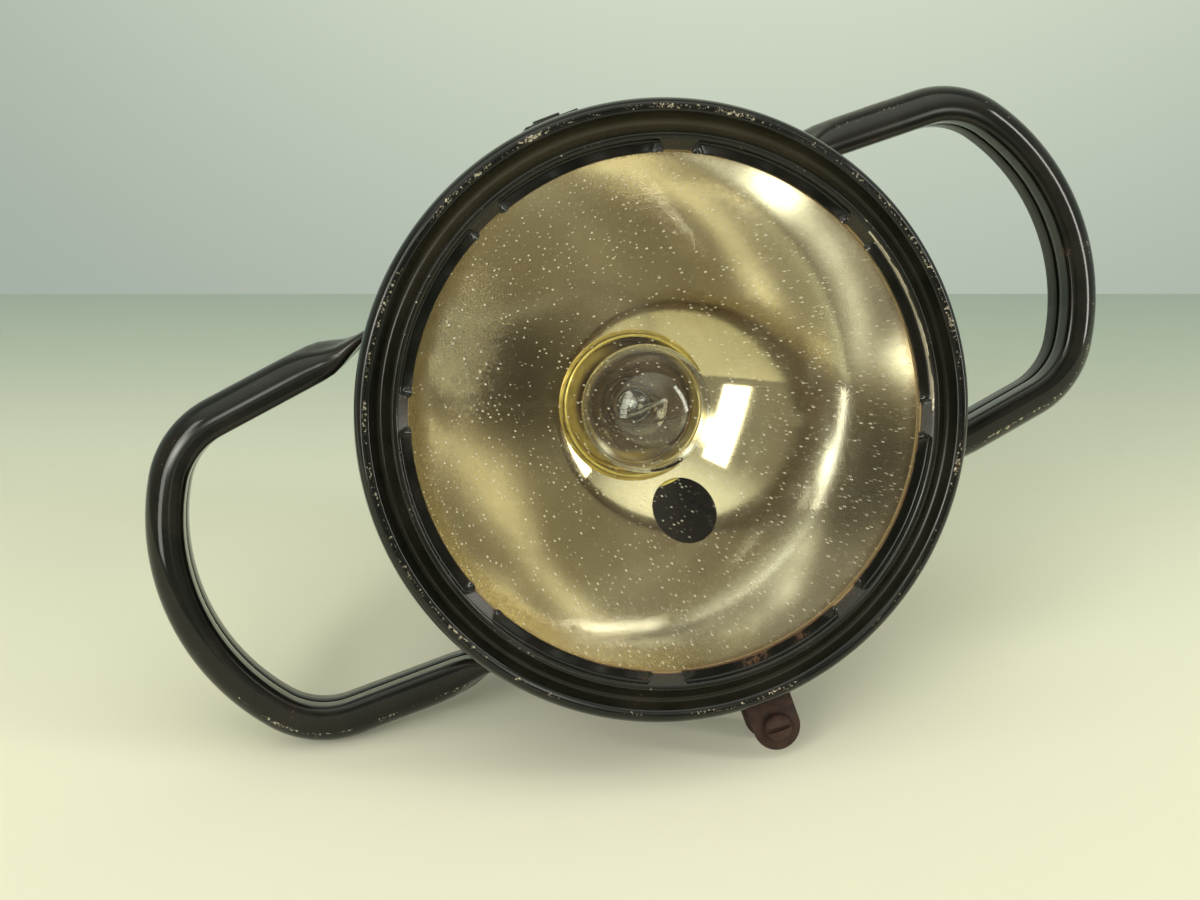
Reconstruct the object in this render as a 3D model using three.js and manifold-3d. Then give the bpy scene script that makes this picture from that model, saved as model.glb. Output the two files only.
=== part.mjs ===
// Vehicle spotlight with two loop handles, in millimetres, +Z up, resting on the plane Z = 0.
// The lamp is built in a frame of its own: x towards the right handle, y towards 12 o'clock and z out of the
// glass, with the lip of the rim at z = 0. Two outer groups roll it and lean it back until it rests on three
// points: the screw tab, the corner of the left handle and the back of the housing.
import * as THREE from 'three';
import { mergeVertices } from 'three/addons/utils/BufferGeometryUtils.js';
import Module from 'manifold-3d';

const wasm = await Module();
wasm.setup();

// Shared clearances and counts
const gap = 0.3; // between faces that touch on the real lamp
const overrun = 4; // how far a cutting tool reaches past what it cuts
const weld = 0.0001; // corners closer than this are one corner
const wideSides = 48; // facets round the housing, the glass and the reflector
const midSides = 24; // facets round the collar and the bulb
const smallSides = 12; // facets round screws and pins
const screwSides = 18; // facets round the rim screw
const hexSides = 6;
const wireSides = 6; // facets round the filament

// Front rim, a single pressed ring. Each inset is taken from the rim's radius or from the edge before it.
const rimRadius = 100;
const rimWall = 1;
const skirtInset = 0.7;
const skirtDepth = 19.5;
const shoulderDepth = 6;
const crestInset = 3;
const crestDepth = 1;
const coveInset = 4.2;
const coveDepth = 4.2;
const coveFullness = 1.2; // above 1 the cove rises late and steeply
const lipInset = 12.1;
const stepInset = 1.4;
const flangeInset = 3.9;
const flangeDepth = 2.6;
const dartCount = 8; // pressed ramps that stiffen the corner between the lip's wall and the flange
const dartHalfDeg = 3.1;
const dartSetback = 0.8; // how far a dart's foot stands back from the flange's edge
const earDeg = 4.3; // where the flange's corner stands up beside a dart
const earEndDeg = 6.5;
const earLift = 1.2;
const earReach = 0.3; // how far an ear stands in from the flange's edge
const plainDegs = [11.5, 17]; // columns on the plain rim between two darts
const rimTurnDeg = -2.2; // the rim sits a little turned on the housing
const shoulderSteps = 3;
const coveSteps = 4;

// Glass, seal and reflector, stacked behind the flange
const glassInset = 2.5; // from the lip
const glassThickness = 2.5;
const sealLip = 0.6;
const sealWall = 1.2;
const sealCover = 2.2;
const reflectorInset = 0.4; // from the glass
const reflectorBrim = 5.5;
const reflectorFocusShare = 0.3176; // of the reflector's radius
const reflectorWall = 0.8;
const reflectorSteps = 7;
const sideHoleRadius = 11;
const sideHoleBridge = 3.3; // metal left between the two holes

// Spring clips that press the stack against the flange
const clipCount = 4;
const clipWidth = 12;
const clipWall = 0.8;
const clipSag = 1.2;
const clipStartDeg = 45;

// Collar behind the centre hole, and the lamp holder that pushes into it
const collarBore = 24.9;
const collarWall = 1.1;
const collarRise = 2; // how far its edge stands out of the dish
const collarLength = 21;
const collarFlange = 31;
const collarNotchWidth = 4;
const collarNotchLength = 3.5;
const collarNotchSetback = 6.5; // this and the other setbacks are behind the collar's edge
const collarNotchDeg = 173;
const carrierWall = 1;
const carrierFlange = 27.5;
const carrierLength = 10.3;
const carrierNeck = 4; // how far the hub stands out of its web
const hubWall = 1.2;
const webSetback = 17;
const socketBore = 7.9;
const socketWall = 0.9;
const socketSetback = 9;
const socketLength = 23;
const bayonetTurnDeg = 20;
const bayonetPlacesDeg = [0, 180];
const bayonetSteps = 4;
const insulatorThickness = 3;
const plungerRadius = 1.3;
const plungerSpacing = 7;
const plungerLength = 7;

// Bulb
const globeRadius = 22.5;
const globeAdvance = 19; // its centre is in front of the collar's edge
const globeWall = 0.8;
const globeSteps = 6;
const neckRadius = 6.6;
const neckSetback = 6;
const capRadius = 7.6;
const capSetback = 3.5;
const capLength = 21.2;
const capEnd = 1.5;
const pinRadius = 1;
const pinSetback = 17;
const stemAdvance = 9;
const stemTipRadius = 2;
const filamentRadius = 0.35;
const filamentHalf = 7.5;
const filamentRise = 3;
const leadSpread = 1.4;
const filamentSteps = 18;

// Lug, rim screw and the tab on the housing that takes the screw
const lugTurnDeg = -3.4;
const lugWidth = 16;
const lugReach = 13.5; // from the skirt to the screw
const lugDepth = 15;
const lugWall = 1.5;
const lugFoot = 3.6;
const screwRadius = 2.4;
const screwHeadRadius = 4.8;
const screwHeadHeight = 3;
const screwDomeShare = 0.94; // of the head's height, at half its radius
const screwSlotWidth = 1.4;
const screwSlotDepth = 1.5;
const screwSlotDeg = -3;
const screwLength = 21;
const screwPlay = 0.6; // lets the screw swing out with the rim
const tabDepth = 29;
const tabWall = 1.5;
const tabWidth = 15;
const tabFoot = 11;
const nutSize = 8.4;
const nutThickness = 4;

// Hook at the top that the rim hangs on
const hingeRise = 1.2; // from the skirt's outer face to the hook's centre line
const hingeDepth = 24;
const tongueWidth = 18;
const tongueWall = 1.2;
const tongueFront = 14.5;
const tongueBack = 28.2;
const tongueSlotWidth = 11;
const tongueSlotHalf = 2;
const hookWidth = 9;
const hookWall = 1.4;
const hookFoot = 12;
const hookTip = 3.6;

// Housing, a pressed bowl
const mouthInset = 1.8; // from the rim's skirt
const mouthFront = 12.5;
const mouthBack = 19;
const housingInset = 2; // from the mouth
const housingFront = 23;
const housingWall = 1.2;
const sideRadius = 509;
const sideStartDeg = 1;
const sideEndDeg = 12;
const cornerRadius = 22;
const sideSteps = 4;
const cornerSteps = 4;

// Handles, rolled from sheet with an open seam on the inner side
const handleDepth = 57;
const handleReach = 71.5; // from the rim's edge
const bowRadius = 78;
const bendRadius = 30;
const bendRise = 27.1;
const armSlopeDeg = 4.6;
const gripThickness = 13.5;
const gripWidth = 20;
const gripWall = 1.1;
const gripEdge = 2;
const gripCrownShare = 0.26;
const seamWidth = 2;
const crownSteps = 5;
const footThickness = 3.2;
const footWidth = 24;
const footArcDeg = 13;
const footFold = 8; // radius of the fold between the arm and its foot
const pinchLength = 20;
const footSteps = 2;
const foldSteps = 3;
const pinchSteps = 2;
const bendSteps = 4;
const bowSteps = 6;

// Rivets through the handle feet
const rivetRadius = 1.9;
const rivetHeadRadius = 3.4;
const rivetHeadHeight = 1.5;
const rivetDomeShares = [0.7, 0.87]; // of the head's radius and height
const rivetPlaceShares = [0.22, 0.78];

// Cable gland and terminal block
const glandDropShare = 0.3141; // of the housing's radius
const glandRadius = 6;
const glandBore = 3.4;
const glandHexRadius = 9.5;
const glandHexHeight = 7;
const glandCollar = 4;
const glandNutHeight = 3.5;
const glandThread = 6;
const blockRiseShare = 0.356;
const blockWidth = 30;
const blockHeight = 14;
const blockDepth = 11;
const blockWellRadius = 2.6;
const blockWellSpacing = 14;
const blockScrewRadius = 2.2;
const blockScrewLength = 6;

// Places that follow from the sizes above
const skirtRadius = rimRadius - skirtInset;
const crestRadius = rimRadius - crestInset;
const coveRadius = rimRadius - coveInset;
const lipRadius = rimRadius - lipInset;
const stepRadius = lipRadius - stepInset;
const flangeRadius = stepRadius - flangeInset;
const glassRadius = lipRadius - glassInset;
const sealFront = -flangeDepth - rimWall - gap;
const glassFront = sealFront - sealLip - gap;
const glassBack = glassFront - glassThickness;
const sealBack = glassBack - gap - sealLip;
const dishFront = sealBack - gap;
const reflectorRadius = glassRadius - reflectorInset;
const reflectorFlange = reflectorRadius + reflectorBrim;
const reflectorFocus = reflectorRadius * reflectorFocusShare;
const dishBottom = dishFront - reflectorRadius ** 2 / (4 * reflectorFocus);
const dishAt = (radius) => dishBottom + radius ** 2 / (4 * reflectorFocus);
const collarRadius = collarBore + collarWall;
const dishHole = collarRadius + gap;
const sideHoleDrop = dishHole + sideHoleBridge + sideHoleRadius;
const collarFront = -dishAt(dishHole) - collarRise;
const globeDepth = collarFront - globeAdvance;
const stemTop = collarFront - stemAdvance;
const capFront = collarFront + capSetback;
const neckEnd = collarFront + neckSetback;
const collarNotchDepth = collarFront + collarNotchSetback;
const socketFront = collarFront + socketSetback;
const pinDepth = collarFront + pinSetback;
const webDepth = collarFront + webSetback;
const screwReach = skirtRadius + lugReach;
const mouthRadius = skirtRadius - mouthInset;
const housingRadius = mouthRadius - housingInset;
const bowReach = rimRadius + handleReach;
const glandDrop = housingRadius * glandDropShare;
const blockRise = housingRadius * blockRiseShare;

// Rest attitude: where the search for it starts, and how it is searched
const startRollDeg = 19.7;
const startLeanDeg = 19.5;
const settleRounds = 12;
const settleStep = 0.0005;

const looks = {
  enamel: { color: 0x1a1c1a, roughness: 0.32, metalness: 0 },
  reflector: { color: 0xa59b78, roughness: 0.22, metalness: 1 },
  glass: { color: 0xdfe6dc, roughness: 0.05, metalness: 0 },
  seal: { color: 0xa88a62, roughness: 0.85, metalness: 0 },
  brass: { color: 0x9a7a3c, roughness: 0.35, metalness: 1 },
  rust: { color: 0x3d241a, roughness: 0.85, metalness: 0.3 },
  steel: { color: 0x77746c, roughness: 0.45, metalness: 1 },
  phenolic: { color: 0x3a2417, roughness: 0.55, metalness: 0 },
  wire: { color: 0x8c8c88, roughness: 0.4, metalness: 1 },
};

const radians = THREE.MathUtils.degToRad;
const quarter = Math.PI / 2;

// Shape helpers

function welded(geometry) {
  const bare = new THREE.BufferGeometry();
  bare.setAttribute('position', geometry.getAttribute('position'));
  bare.setIndex(geometry.getIndex());
  const merged = mergeVertices(bare, weld);
  const corners = merged.getIndex().array;
  const kept = [];
  for (let i = 0; i < corners.length; i += 3) {
    const [a, b, c] = [corners[i], corners[i + 1], corners[i + 2]];
    if (a !== b && b !== c && c !== a) kept.push(a, b, c);
  }
  merged.setIndex(kept);
  return facingOut(merged);
}

function facingOut(geometry) {
  const place = geometry.getAttribute('position');
  const index = geometry.getIndex().array;
  const [a, b, c] = [new THREE.Vector3(), new THREE.Vector3(), new THREE.Vector3()];
  let volume = 0;
  for (let i = 0; i < index.length; i += 3) {
    a.fromBufferAttribute(place, index[i]);
    b.fromBufferAttribute(place, index[i + 1]);
    c.fromBufferAttribute(place, index[i + 2]);
    volume += a.dot(b.cross(c));
  }
  if (volume < 0) {
    for (let i = 0; i < index.length; i += 3) {
      [index[i + 1], index[i + 2]] = [index[i + 2], index[i + 1]];
    }
  }
  return geometry;
}

function toManifold(geometry) {
  const vertProperties = new Float32Array(geometry.getAttribute('position').array);
  const triVerts = new Uint32Array(geometry.getIndex().array);
  return new wasm.Manifold(new wasm.Mesh({ numProp: 3, vertProperties, triVerts }));
}

function fromManifold(body) {
  const { vertProperties, triVerts } = body.getMesh();
  const geometry = new THREE.BufferGeometry();
  geometry.setAttribute('position', new THREE.BufferAttribute(new Float32Array(vertProperties), 3));
  geometry.setIndex(new THREE.BufferAttribute(new Uint32Array(triVerts), 1));
  return geometry;
}

function cut(geometry, ...tools) {
  let body = toManifold(geometry);
  for (const tool of tools) body = body.subtract(toManifold(tool));
  return fromManifold(body);
}

function join(geometry, ...others) {
  let body = toManifold(geometry);
  for (const other of others) body = body.add(toManifold(other));
  return fromManifold(body);
}

// Turns a profile of [radius, z] points about the lamp's axis. It starts and ends on the axis, or is closed.
function turned(profile, sides) {
  const first = profile[0];
  const last = profile[profile.length - 1];
  const closed = first[0] === 0 && last[0] === 0 ? profile : [...profile, first];
  const points = closed.map(([r, z]) => new THREE.Vector2(r, z));
  const lathe = new THREE.LatheGeometry(points, sides);
  lathe.rotateX(quarter);
  return welded(lathe);
}

function ring(inner, outer, front, back, sides) {
  return turned([[inner, front], [outer, front], [outer, back], [inner, back]], sides);
}

function rod(radius, front, back, sides) {
  return turned([[0, front], [radius, front], [radius, back], [0, back]], sides);
}

function arc(centre, radius, fromDeg, toDeg, steps) {
  return Array.from({ length: steps + 1 }, (_, i) => {
    const angle = radians(fromDeg + ((toDeg - fromDeg) * i) / steps);
    return [centre[0] + radius * Math.cos(angle), centre[1] + radius * Math.sin(angle)];
  });
}

// Faces between neighbouring rings of points, and from the last ring to the first one where they close
function ringFaces(count, around, closed) {
  const index = [];
  for (let i = 0; i < (closed ? count : count - 1); i += 1) {
    const [near, far] = [i * around, ((i + 1) % count) * around];
    for (let j = 0; j < around; j += 1) {
      const next = (j + 1) % around;
      index.push(near + j, near + next, far + next, near + j, far + next, far + j);
    }
  }
  return index;
}

function lofted(rings, index) {
  const loft = new THREE.BufferGeometry();
  loft.setAttribute('position', new THREE.Float32BufferAttribute(rings.flat(2), 3));
  loft.setIndex(index);
  return welded(loft);
}

// A flat plate: an outline in x and y, between two depths
function plate(points, front, back) {
  const shape = new THREE.Shape(points.map(([x, y]) => new THREE.Vector2(x, y)));
  const thickness = front - back;
  const solid = new THREE.ExtrudeGeometry(shape, { depth: thickness, bevelEnabled: false, steps: 1 });
  solid.translate(0, 0, back);
  return welded(solid);
}

// A bent strip: an outline in y (up) and z, as wide as given along x
function strip(points, width) {
  const shape = new THREE.Shape(points.map(([y, z]) => new THREE.Vector2(z, y)));
  const solid = new THREE.ExtrudeGeometry(shape, { depth: width, bevelEnabled: false, steps: 1 });
  solid.translate(0, 0, -width / 2);
  solid.rotateY(-quarter);
  return welded(solid);
}

function block(width, height, front, back) {
  const solid = new THREE.BoxGeometry(width, height, front - back);
  solid.translate(0, 0, (front + back) / 2);
  return welded(solid);
}

function moved(geometry, x, y, z) {
  geometry.translate(x, y, z);
  return geometry;
}

function piece(name, geometry, look, parent) {
  const mesh = new THREE.Mesh(geometry, new THREE.MeshStandardMaterial(look));
  mesh.name = name;
  parent.add(mesh);
  return mesh;
}

// Groups

const spotlight = new THREE.Group();
const leaning = new THREE.Group();
const lamp = new THREE.Group();
const rimSide = new THREE.Group();
const lugSide = new THREE.Group();
rimSide.rotation.z = radians(rimTurnDeg);
lugSide.rotation.z = radians(lugTurnDeg);
lamp.add(rimSide, lugSide);

// Front rim

// Profile of the rim at a number of degrees from the middle of the nearest dart
function rimProfile(offsetDeg) {
  const inDart = offsetDeg <= dartHalfDeg;
  const ear = offsetDeg === earDeg ? 1 : 0;
  const edge = inDart ? flangeRadius + dartSetback : flangeRadius - ear * earReach;
  const edgeTop = -flangeDepth + ear * earLift;
  const foot = inDart
    ? [(stepRadius + edge) / 2, -(flangeDepth + rimWall / 2) / 2]
    : [stepRadius - rimWall / 4, -flangeDepth];
  const shoulder = arc([0, 0], 1, 0, 90, shoulderSteps).map(([across, up]) => [
    crestRadius + (rimRadius - crestRadius) * across,
    -shoulderDepth + (shoulderDepth - crestDepth) * up,
  ]);
  const lipOuter = lipRadius + rimWall / 2;
  const cove = Array.from({ length: coveSteps }, (_, i) => {
    const share = i / coveSteps;
    const rise = crestDepth * (1 - share) + coveDepth * Math.sin(Math.PI * share) ** coveFullness;
    return [coveRadius + (lipOuter - coveRadius) * share, -rise];
  });
  const inner = skirtRadius - rimWall;
  const floor = (coveRadius + lipRadius) / 2;
  return [
    [skirtRadius, -skirtDepth],
    ...shoulder,
    ...cove,
    [lipRadius, 0],
    [stepRadius, -rimWall / 2],
    foot,
    [edge, edgeTop],
    [edge, edgeTop - rimWall],
    [lipRadius, -flangeDepth - rimWall],
    [floor, -coveDepth - crestDepth - rimWall],
    [coveRadius, -crestDepth - rimWall * 2],
    [inner, -shoulderDepth],
    [inner, -skirtDepth],
  ];
}

function frontRim() {
  const sectorDeg = 360 / dartCount;
  const half = [dartHalfDeg, earDeg, earEndDeg, ...plainDegs];
  const sector = [...half.map((deg) => -deg).reverse(), 0, ...half, sectorDeg / 2];
  const rings = Array.from({ length: dartCount }, (_, i) => sector.map((offsetDeg) => {
    const angle = radians(sectorDeg * (i + 1 / 2) + offsetDeg);
    const profile = rimProfile(Math.abs(offsetDeg));
    return profile.map(([r, z]) => [r * Math.cos(angle), r * Math.sin(angle), z]);
  })).flat();
  return lofted(rings, ringFaces(rings.length, rings[0].length, true));
}

piece('front_rim', frontRim(), looks.enamel, rimSide);

// Glass and seal

function glassSeal() {
  const edge = glassRadius + gap;
  return turned([
    [glassRadius - sealCover, sealFront],
    [edge + sealWall, sealFront],
    [edge + sealWall, sealBack],
    [glassRadius - sealCover, sealBack],
    [glassRadius - sealCover, sealBack + sealLip],
    [edge, sealBack + sealLip],
    [edge, sealFront - sealLip],
    [glassRadius - sealCover, sealFront - sealLip],
  ], wideSides);
}

piece('front_glass', rod(glassRadius, glassFront, glassBack, wideSides), looks.glass, rimSide);
piece('glass_seal', glassSeal(), looks.seal, rimSide);

// Reflector with its collar

function reflectorShape() {
  const face = Array.from({ length: reflectorSteps + 1 }, (_, i) => {
    const radius = dishHole + ((reflectorRadius - dishHole) * i) / reflectorSteps;
    return [radius, dishAt(radius)];
  });
  const back = face.map(([radius, z]) => [radius, z - reflectorWall]).reverse();
  const dish = turned([
    ...face,
    [reflectorFlange, dishFront],
    [reflectorFlange, dishFront - reflectorWall],
    ...back,
  ], wideSides);
  const side = rod(sideHoleRadius, 0, dishBottom - overrun, midSides);
  return cut(dish, moved(side, 0, -sideHoleDrop, 0));
}

function collarShape() {
  const seat = (radius) => dishAt(radius) - reflectorWall - gap;
  const sleeve = turned([
    [collarBore, -collarFront],
    [collarRadius, -collarFront],
    [collarRadius, seat(dishHole)],
    [collarFlange, seat(collarFlange)],
    [collarFlange, seat(collarFlange) - collarWall],
    [collarRadius, seat(dishHole) - collarWall],
    [collarRadius, -collarFront - collarLength],
    [collarBore, -collarFront - collarLength],
  ], midSides);
  const notch = block(overrun, collarNotchWidth, -collarNotchDepth, -collarNotchDepth - collarNotchLength);
  notch.translate(collarRadius, 0, 0);
  notch.rotateZ(radians(collarNotchDeg));
  return cut(sleeve, notch);
}

piece('reflector', reflectorShape(), looks.reflector, lamp);
piece('reflector_collar', collarShape(), looks.brass, lamp);

// Spring clips

function clipShape() {
  const hold = dishFront - reflectorWall - gap;
  const outer = Math.sqrt((skirtRadius - rimWall - gap) ** 2 - (clipWidth / 2) ** 2) - gap / 2;
  const nose = reflectorRadius + (reflectorFlange - reflectorRadius) / 2;
  const tail = reflectorRadius;
  return strip([
    [outer, hold - clipSag],
    [nose, hold],
    [tail, hold - clipSag],
    [tail, hold - clipSag - clipWall],
    [nose, hold - clipWall],
    [outer, hold - clipSag - clipWall],
  ], clipWidth);
}

for (let i = 0; i < clipCount; i += 1) {
  const clip = piece(`retaining_clip_${i + 1}`, clipShape(), looks.steel, rimSide);
  clip.rotation.z = radians(clipStartDeg + (360 * i) / clipCount);
}

// Lamp holder

const hubBore = socketBore + socketWall + gap;
const carrierRadius = collarBore - gap;
const carrierBack = -collarFront - collarLength - gap;
const socketRadius = socketBore + socketWall;

function carrierShape() {
  const inner = carrierRadius - carrierWall;
  const hub = hubBore + hubWall;
  return turned([
    [hubBore, -webDepth + carrierNeck],
    [hub, -webDepth + carrierNeck],
    [hub, -webDepth],
    [inner, -webDepth],
    [inner, carrierBack + carrierLength],
    [carrierRadius, carrierBack + carrierLength],
    [carrierRadius, carrierBack],
    [carrierFlange, carrierBack],
    [carrierFlange, carrierBack - carrierWall],
    [inner, carrierBack - carrierWall],
    [inner, -webDepth - carrierWall],
    [hub, -webDepth - carrierWall],
    [hub, -webDepth - carrierNeck],
    [hubBore, -webDepth - carrierNeck],
  ], midSides);
}

// The bayonet slots let the two pins in from the front and then turn aside
function socketShape() {
  const tube = ring(socketBore, socketRadius, -socketFront, -socketFront - socketLength, midSides);
  const half = pinRadius + gap;
  const tools = [];
  for (const side of bayonetPlacesDeg) {
    for (let i = 0; i <= bayonetSteps; i += 1) {
      const seat = block(overrun * 2, half * 2, -pinDepth + half, -pinDepth - half);
      seat.translate(socketRadius, 0, 0);
      seat.rotateZ(radians(side + (bayonetTurnDeg * i) / bayonetSteps));
      tools.push(seat);
    }
    const entry = block(overrun * 2, half * 2, -socketFront + overrun, -pinDepth);
    entry.translate(socketRadius, 0, 0);
    entry.rotateZ(radians(side + bayonetTurnDeg));
    tools.push(entry);
  }
  return cut(tube, ...tools);
}

const capBack = -capFront - capLength;
const plungerFront = capBack - gap;
const insulatorFront = plungerFront - plungerLength / 2;

function insulatorShape() {
  const disc = rod(socketBore - gap, insulatorFront, insulatorFront - insulatorThickness, midSides);
  const holes = [-1, 1].map((side) => {
    const hole = rod(plungerRadius + gap, 0, insulatorFront - insulatorThickness - overrun, smallSides);
    return moved(hole, (side * plungerSpacing) / 2, 0, 0);
  });
  return cut(disc, ...holes);
}

piece('socket_carrier', carrierShape(), looks.brass, lamp);
piece('lamp_socket', socketShape(), looks.brass, lamp);
piece('socket_insulator', insulatorShape(), looks.phenolic, lamp);
for (const [side, word] of [[-1, 'left'], [1, 'right']]) {
  const shape = rod(plungerRadius, plungerFront, plungerFront - plungerLength, smallSides);
  const plunger = piece(`contact_plunger_${word}`, shape, looks.brass, lamp);
  plunger.position.x = (side * plungerSpacing) / 2;
}

// Bulb

function globeShape() {
  const inside = globeRadius - globeWall;
  const neckBore = neckRadius - globeWall;
  const outerEnd = THREE.MathUtils.radToDeg(Math.acos(neckRadius / globeRadius));
  const innerEnd = THREE.MathUtils.radToDeg(Math.acos(neckBore / inside));
  const outer = arc([0, -globeDepth], globeRadius, 90, -outerEnd, globeSteps);
  const inner = arc([0, -globeDepth], inside, 90, -innerEnd, globeSteps).reverse();
  outer[0][0] = 0;
  inner[inner.length - 1][0] = 0;
  return turned([...outer, [neckRadius, -neckEnd], [neckBore, -neckEnd], ...inner], midSides);
}

function bulbCap() {
  const bore = neckRadius + gap;
  const shell = cut(
    rod(capRadius, -capFront, capBack, midSides),
    rod(bore, -capFront + overrun, capBack + capEnd, midSides),
  );
  const pins = bayonetPlacesDeg.map((side) => {
    const pin = rod(pinRadius, socketRadius - gap / 2, neckRadius + gap * 2, smallSides);
    pin.rotateY(quarter);
    pin.translate(0, 0, -pinDepth);
    pin.rotateZ(radians(side));
    return pin;
  });
  return join(shell, ...pins);
}

function stemShape() {
  const foot = neckRadius - globeWall - gap;
  return turned([
    [0, -stemTop],
    [stemTipRadius, -stemTop - stemTipRadius],
    [stemTipRadius, -capFront + stemTipRadius],
    [foot, -neckEnd + stemTipRadius],
    [foot, -neckEnd],
    [0, -neckEnd],
  ], smallSides);
}

function filamentShape() {
  const foot = -stemTop + gap;
  const shoulder = -globeDepth - filamentRise;
  const path = new THREE.CatmullRomCurve3([
    new THREE.Vector3(-leadSpread / 2, 0, foot),
    new THREE.Vector3(-filamentHalf + leadSpread, 0, shoulder),
    new THREE.Vector3(-filamentHalf, 0, -globeDepth),
    new THREE.Vector3(-filamentHalf / 2, 0, -globeDepth + filamentRise),
    new THREE.Vector3(filamentHalf / 2, 0, -globeDepth + filamentRise),
    new THREE.Vector3(filamentHalf, 0, -globeDepth),
    new THREE.Vector3(filamentHalf - leadSpread, 0, shoulder),
    new THREE.Vector3(leadSpread / 2, 0, foot),
  ]);
  const round = arc([0, 0], filamentRadius, 0, 360, wireSides).slice(1);
  const section = new THREE.Shape(round.map(([x, y]) => new THREE.Vector2(x, y)));
  const wire = new THREE.ExtrudeGeometry(section, {
    steps: filamentSteps,
    extrudePath: path,
    bevelEnabled: false,
  });
  return welded(wire);
}

piece('bulb_globe', globeShape(), looks.glass, lamp);
piece('bulb_cap', bulbCap(), looks.brass, lamp);
piece('bulb_stem', stemShape(), looks.glass, lamp);
piece('bulb_filament', filamentShape(), looks.wire, lamp);

// Housing

const sideCentre = [
  housingRadius - sideRadius * Math.cos(radians(sideStartDeg)),
  -housingFront + sideRadius * Math.sin(radians(sideStartDeg)),
];
const cornerCentre = [
  sideCentre[0] + (sideRadius - cornerRadius) * Math.cos(radians(sideEndDeg)),
  sideCentre[1] - (sideRadius - cornerRadius) * Math.sin(radians(sideEndDeg)),
];
const housingBack = cornerCentre[1] - cornerRadius;

// Radius and slope of the housing's side at a depth behind the lip
function housingAt(depth) {
  const slope = Math.asin((depth + sideCentre[1]) / sideRadius);
  return { radius: sideCentre[0] + sideRadius * Math.cos(slope), slope };
}

function housingProfile() {
  const side = (wall) => arc(sideCentre, sideRadius - wall, -sideStartDeg, -sideEndDeg, sideSteps);
  const corner = (wall) => arc(cornerCentre, cornerRadius - wall, -sideEndDeg, -90, cornerSteps).slice(1);
  const outer = [
    [mouthRadius, -mouthFront],
    [mouthRadius, -mouthBack],
    ...side(0),
    ...corner(0),
    [0, housingBack],
  ];
  const inner = [
    [mouthRadius - housingWall, -mouthFront],
    [mouthRadius - housingWall, -mouthBack - housingWall / 2],
    ...side(housingWall),
    ...corner(housingWall),
    [0, housingBack + housingWall],
  ];
  return [...outer, ...inner.reverse()];
}

// Handles

const slopeAtHandle = housingAt(handleDepth).slope;
const footRadius = housingAt(handleDepth).radius + (gap + footThickness / 2) / Math.cos(slopeAtHandle);

function alongArc(centre, radius, fromDeg, toDeg, steps, facing) {
  return Array.from({ length: steps + 1 }, (_, i) => {
    const angle = radians(fromDeg + ((toDeg - fromDeg) * i) / steps);
    const out = new THREE.Vector2(Math.cos(angle), Math.sin(angle));
    const point = new THREE.Vector2(...centre).addScaledVector(out, radius);
    return { point, normal: out.multiplyScalar(facing) };
  });
}

// Centre of the fold: as far above the arm's line as it is outside the foot's circle
function foldCentre(bend) {
  const tilt = radians(armSlopeDeg);
  const up = new THREE.Vector2(Math.sin(tilt), Math.cos(tilt));
  const along = new THREE.Vector2(-up.y, up.x);
  const start = new THREE.Vector2(...bend).addScaledVector(up, bendRadius + footFold);
  const distance = footRadius + footFold;
  const half = start.dot(along);
  const root = Math.sqrt(half ** 2 - start.lengthSq() + distance ** 2);
  const near = -half - root;
  return start.addScaledVector(along, near > 0 ? near : root - half);
}

// Stations along the right handle, from its upper foot to its lower one
function handleStations() {
  const bowCentre = [bowReach - bowRadius, 0];
  const span = bowRadius - bendRadius;
  const bendCentre = [bowCentre[0] + Math.sqrt(span ** 2 - bendRise ** 2), bendRise];
  const bowDeg = THREE.MathUtils.radToDeg(Math.asin(bendRise / span));
  const fold = foldCentre(bendCentre);
  const foldDeg = THREE.MathUtils.radToDeg(Math.atan2(fold.y, fold.x));
  const armDeg = 90 - armSlopeDeg;
  const foot = alongArc([0, 0], footRadius, foldDeg + footArcDeg, foldDeg, footSteps, 1);
  const folded = alongArc([fold.x, fold.y], footFold, foldDeg - 180, armDeg - 180, foldSteps, -1);
  const bend = alongArc(bendCentre, bendRadius, armDeg, bowDeg, bendSteps, 1);
  const bow = alongArc(bowCentre, bowRadius, bowDeg, -bowDeg, bowSteps, 1);
  const armStart = folded[foldSteps];
  const armWay = bend[0].point.clone().sub(armStart.point).normalize();
  const pinched = Array.from({ length: pinchSteps }, (_, i) => ({
    point: armStart.point.clone().addScaledVector(armWay, (pinchLength * (i + 1)) / pinchSteps),
    normal: armStart.normal,
  }));
  const upper = [...foot, ...folded.slice(1), ...pinched, ...bend];
  const lower = upper.map(({ point, normal }) => ({
    point: new THREE.Vector2(point.x, -point.y),
    normal: new THREE.Vector2(normal.x, -normal.y),
  })).reverse();
  const stations = [...upper, ...bow.slice(1, -1), ...lower];
  const flatSteps = footSteps + foldSteps;
  stations.forEach((station, i) => {
    const fromEnd = Math.min(i, stations.length - 1 - i);
    const open = THREE.MathUtils.clamp((fromEnd - flatSteps) / pinchSteps, 0, 1);
    station.open = open ** 2 * (3 - 2 * open);
  });
  return stations;
}

// Half-round section with a flat inner side and an open seam, as [out, forward] points
function gripOutline(thickness, width, inset) {
  const half = width / 2 - inset;
  const bottom = -thickness / 2 + inset;
  const top = thickness / 2 - inset;
  const crown = bottom + (top - bottom) * gripCrownShare;
  const edge = Math.min(gripEdge, crown - bottom) / 2;
  const right = [
    [bottom, seamWidth / 2],
    [bottom, half - edge * 2],
    [bottom + edge / 2, half - edge / 2],
  ];
  const round = arc([0, 0], 1, 0, 180, crownSteps).map(([across, up]) => [
    crown + (top - crown) * up,
    half * across,
  ]);
  const left = right.map(([out, forward]) => [out, -forward]).reverse();
  return [...right, ...round, ...left];
}

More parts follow.
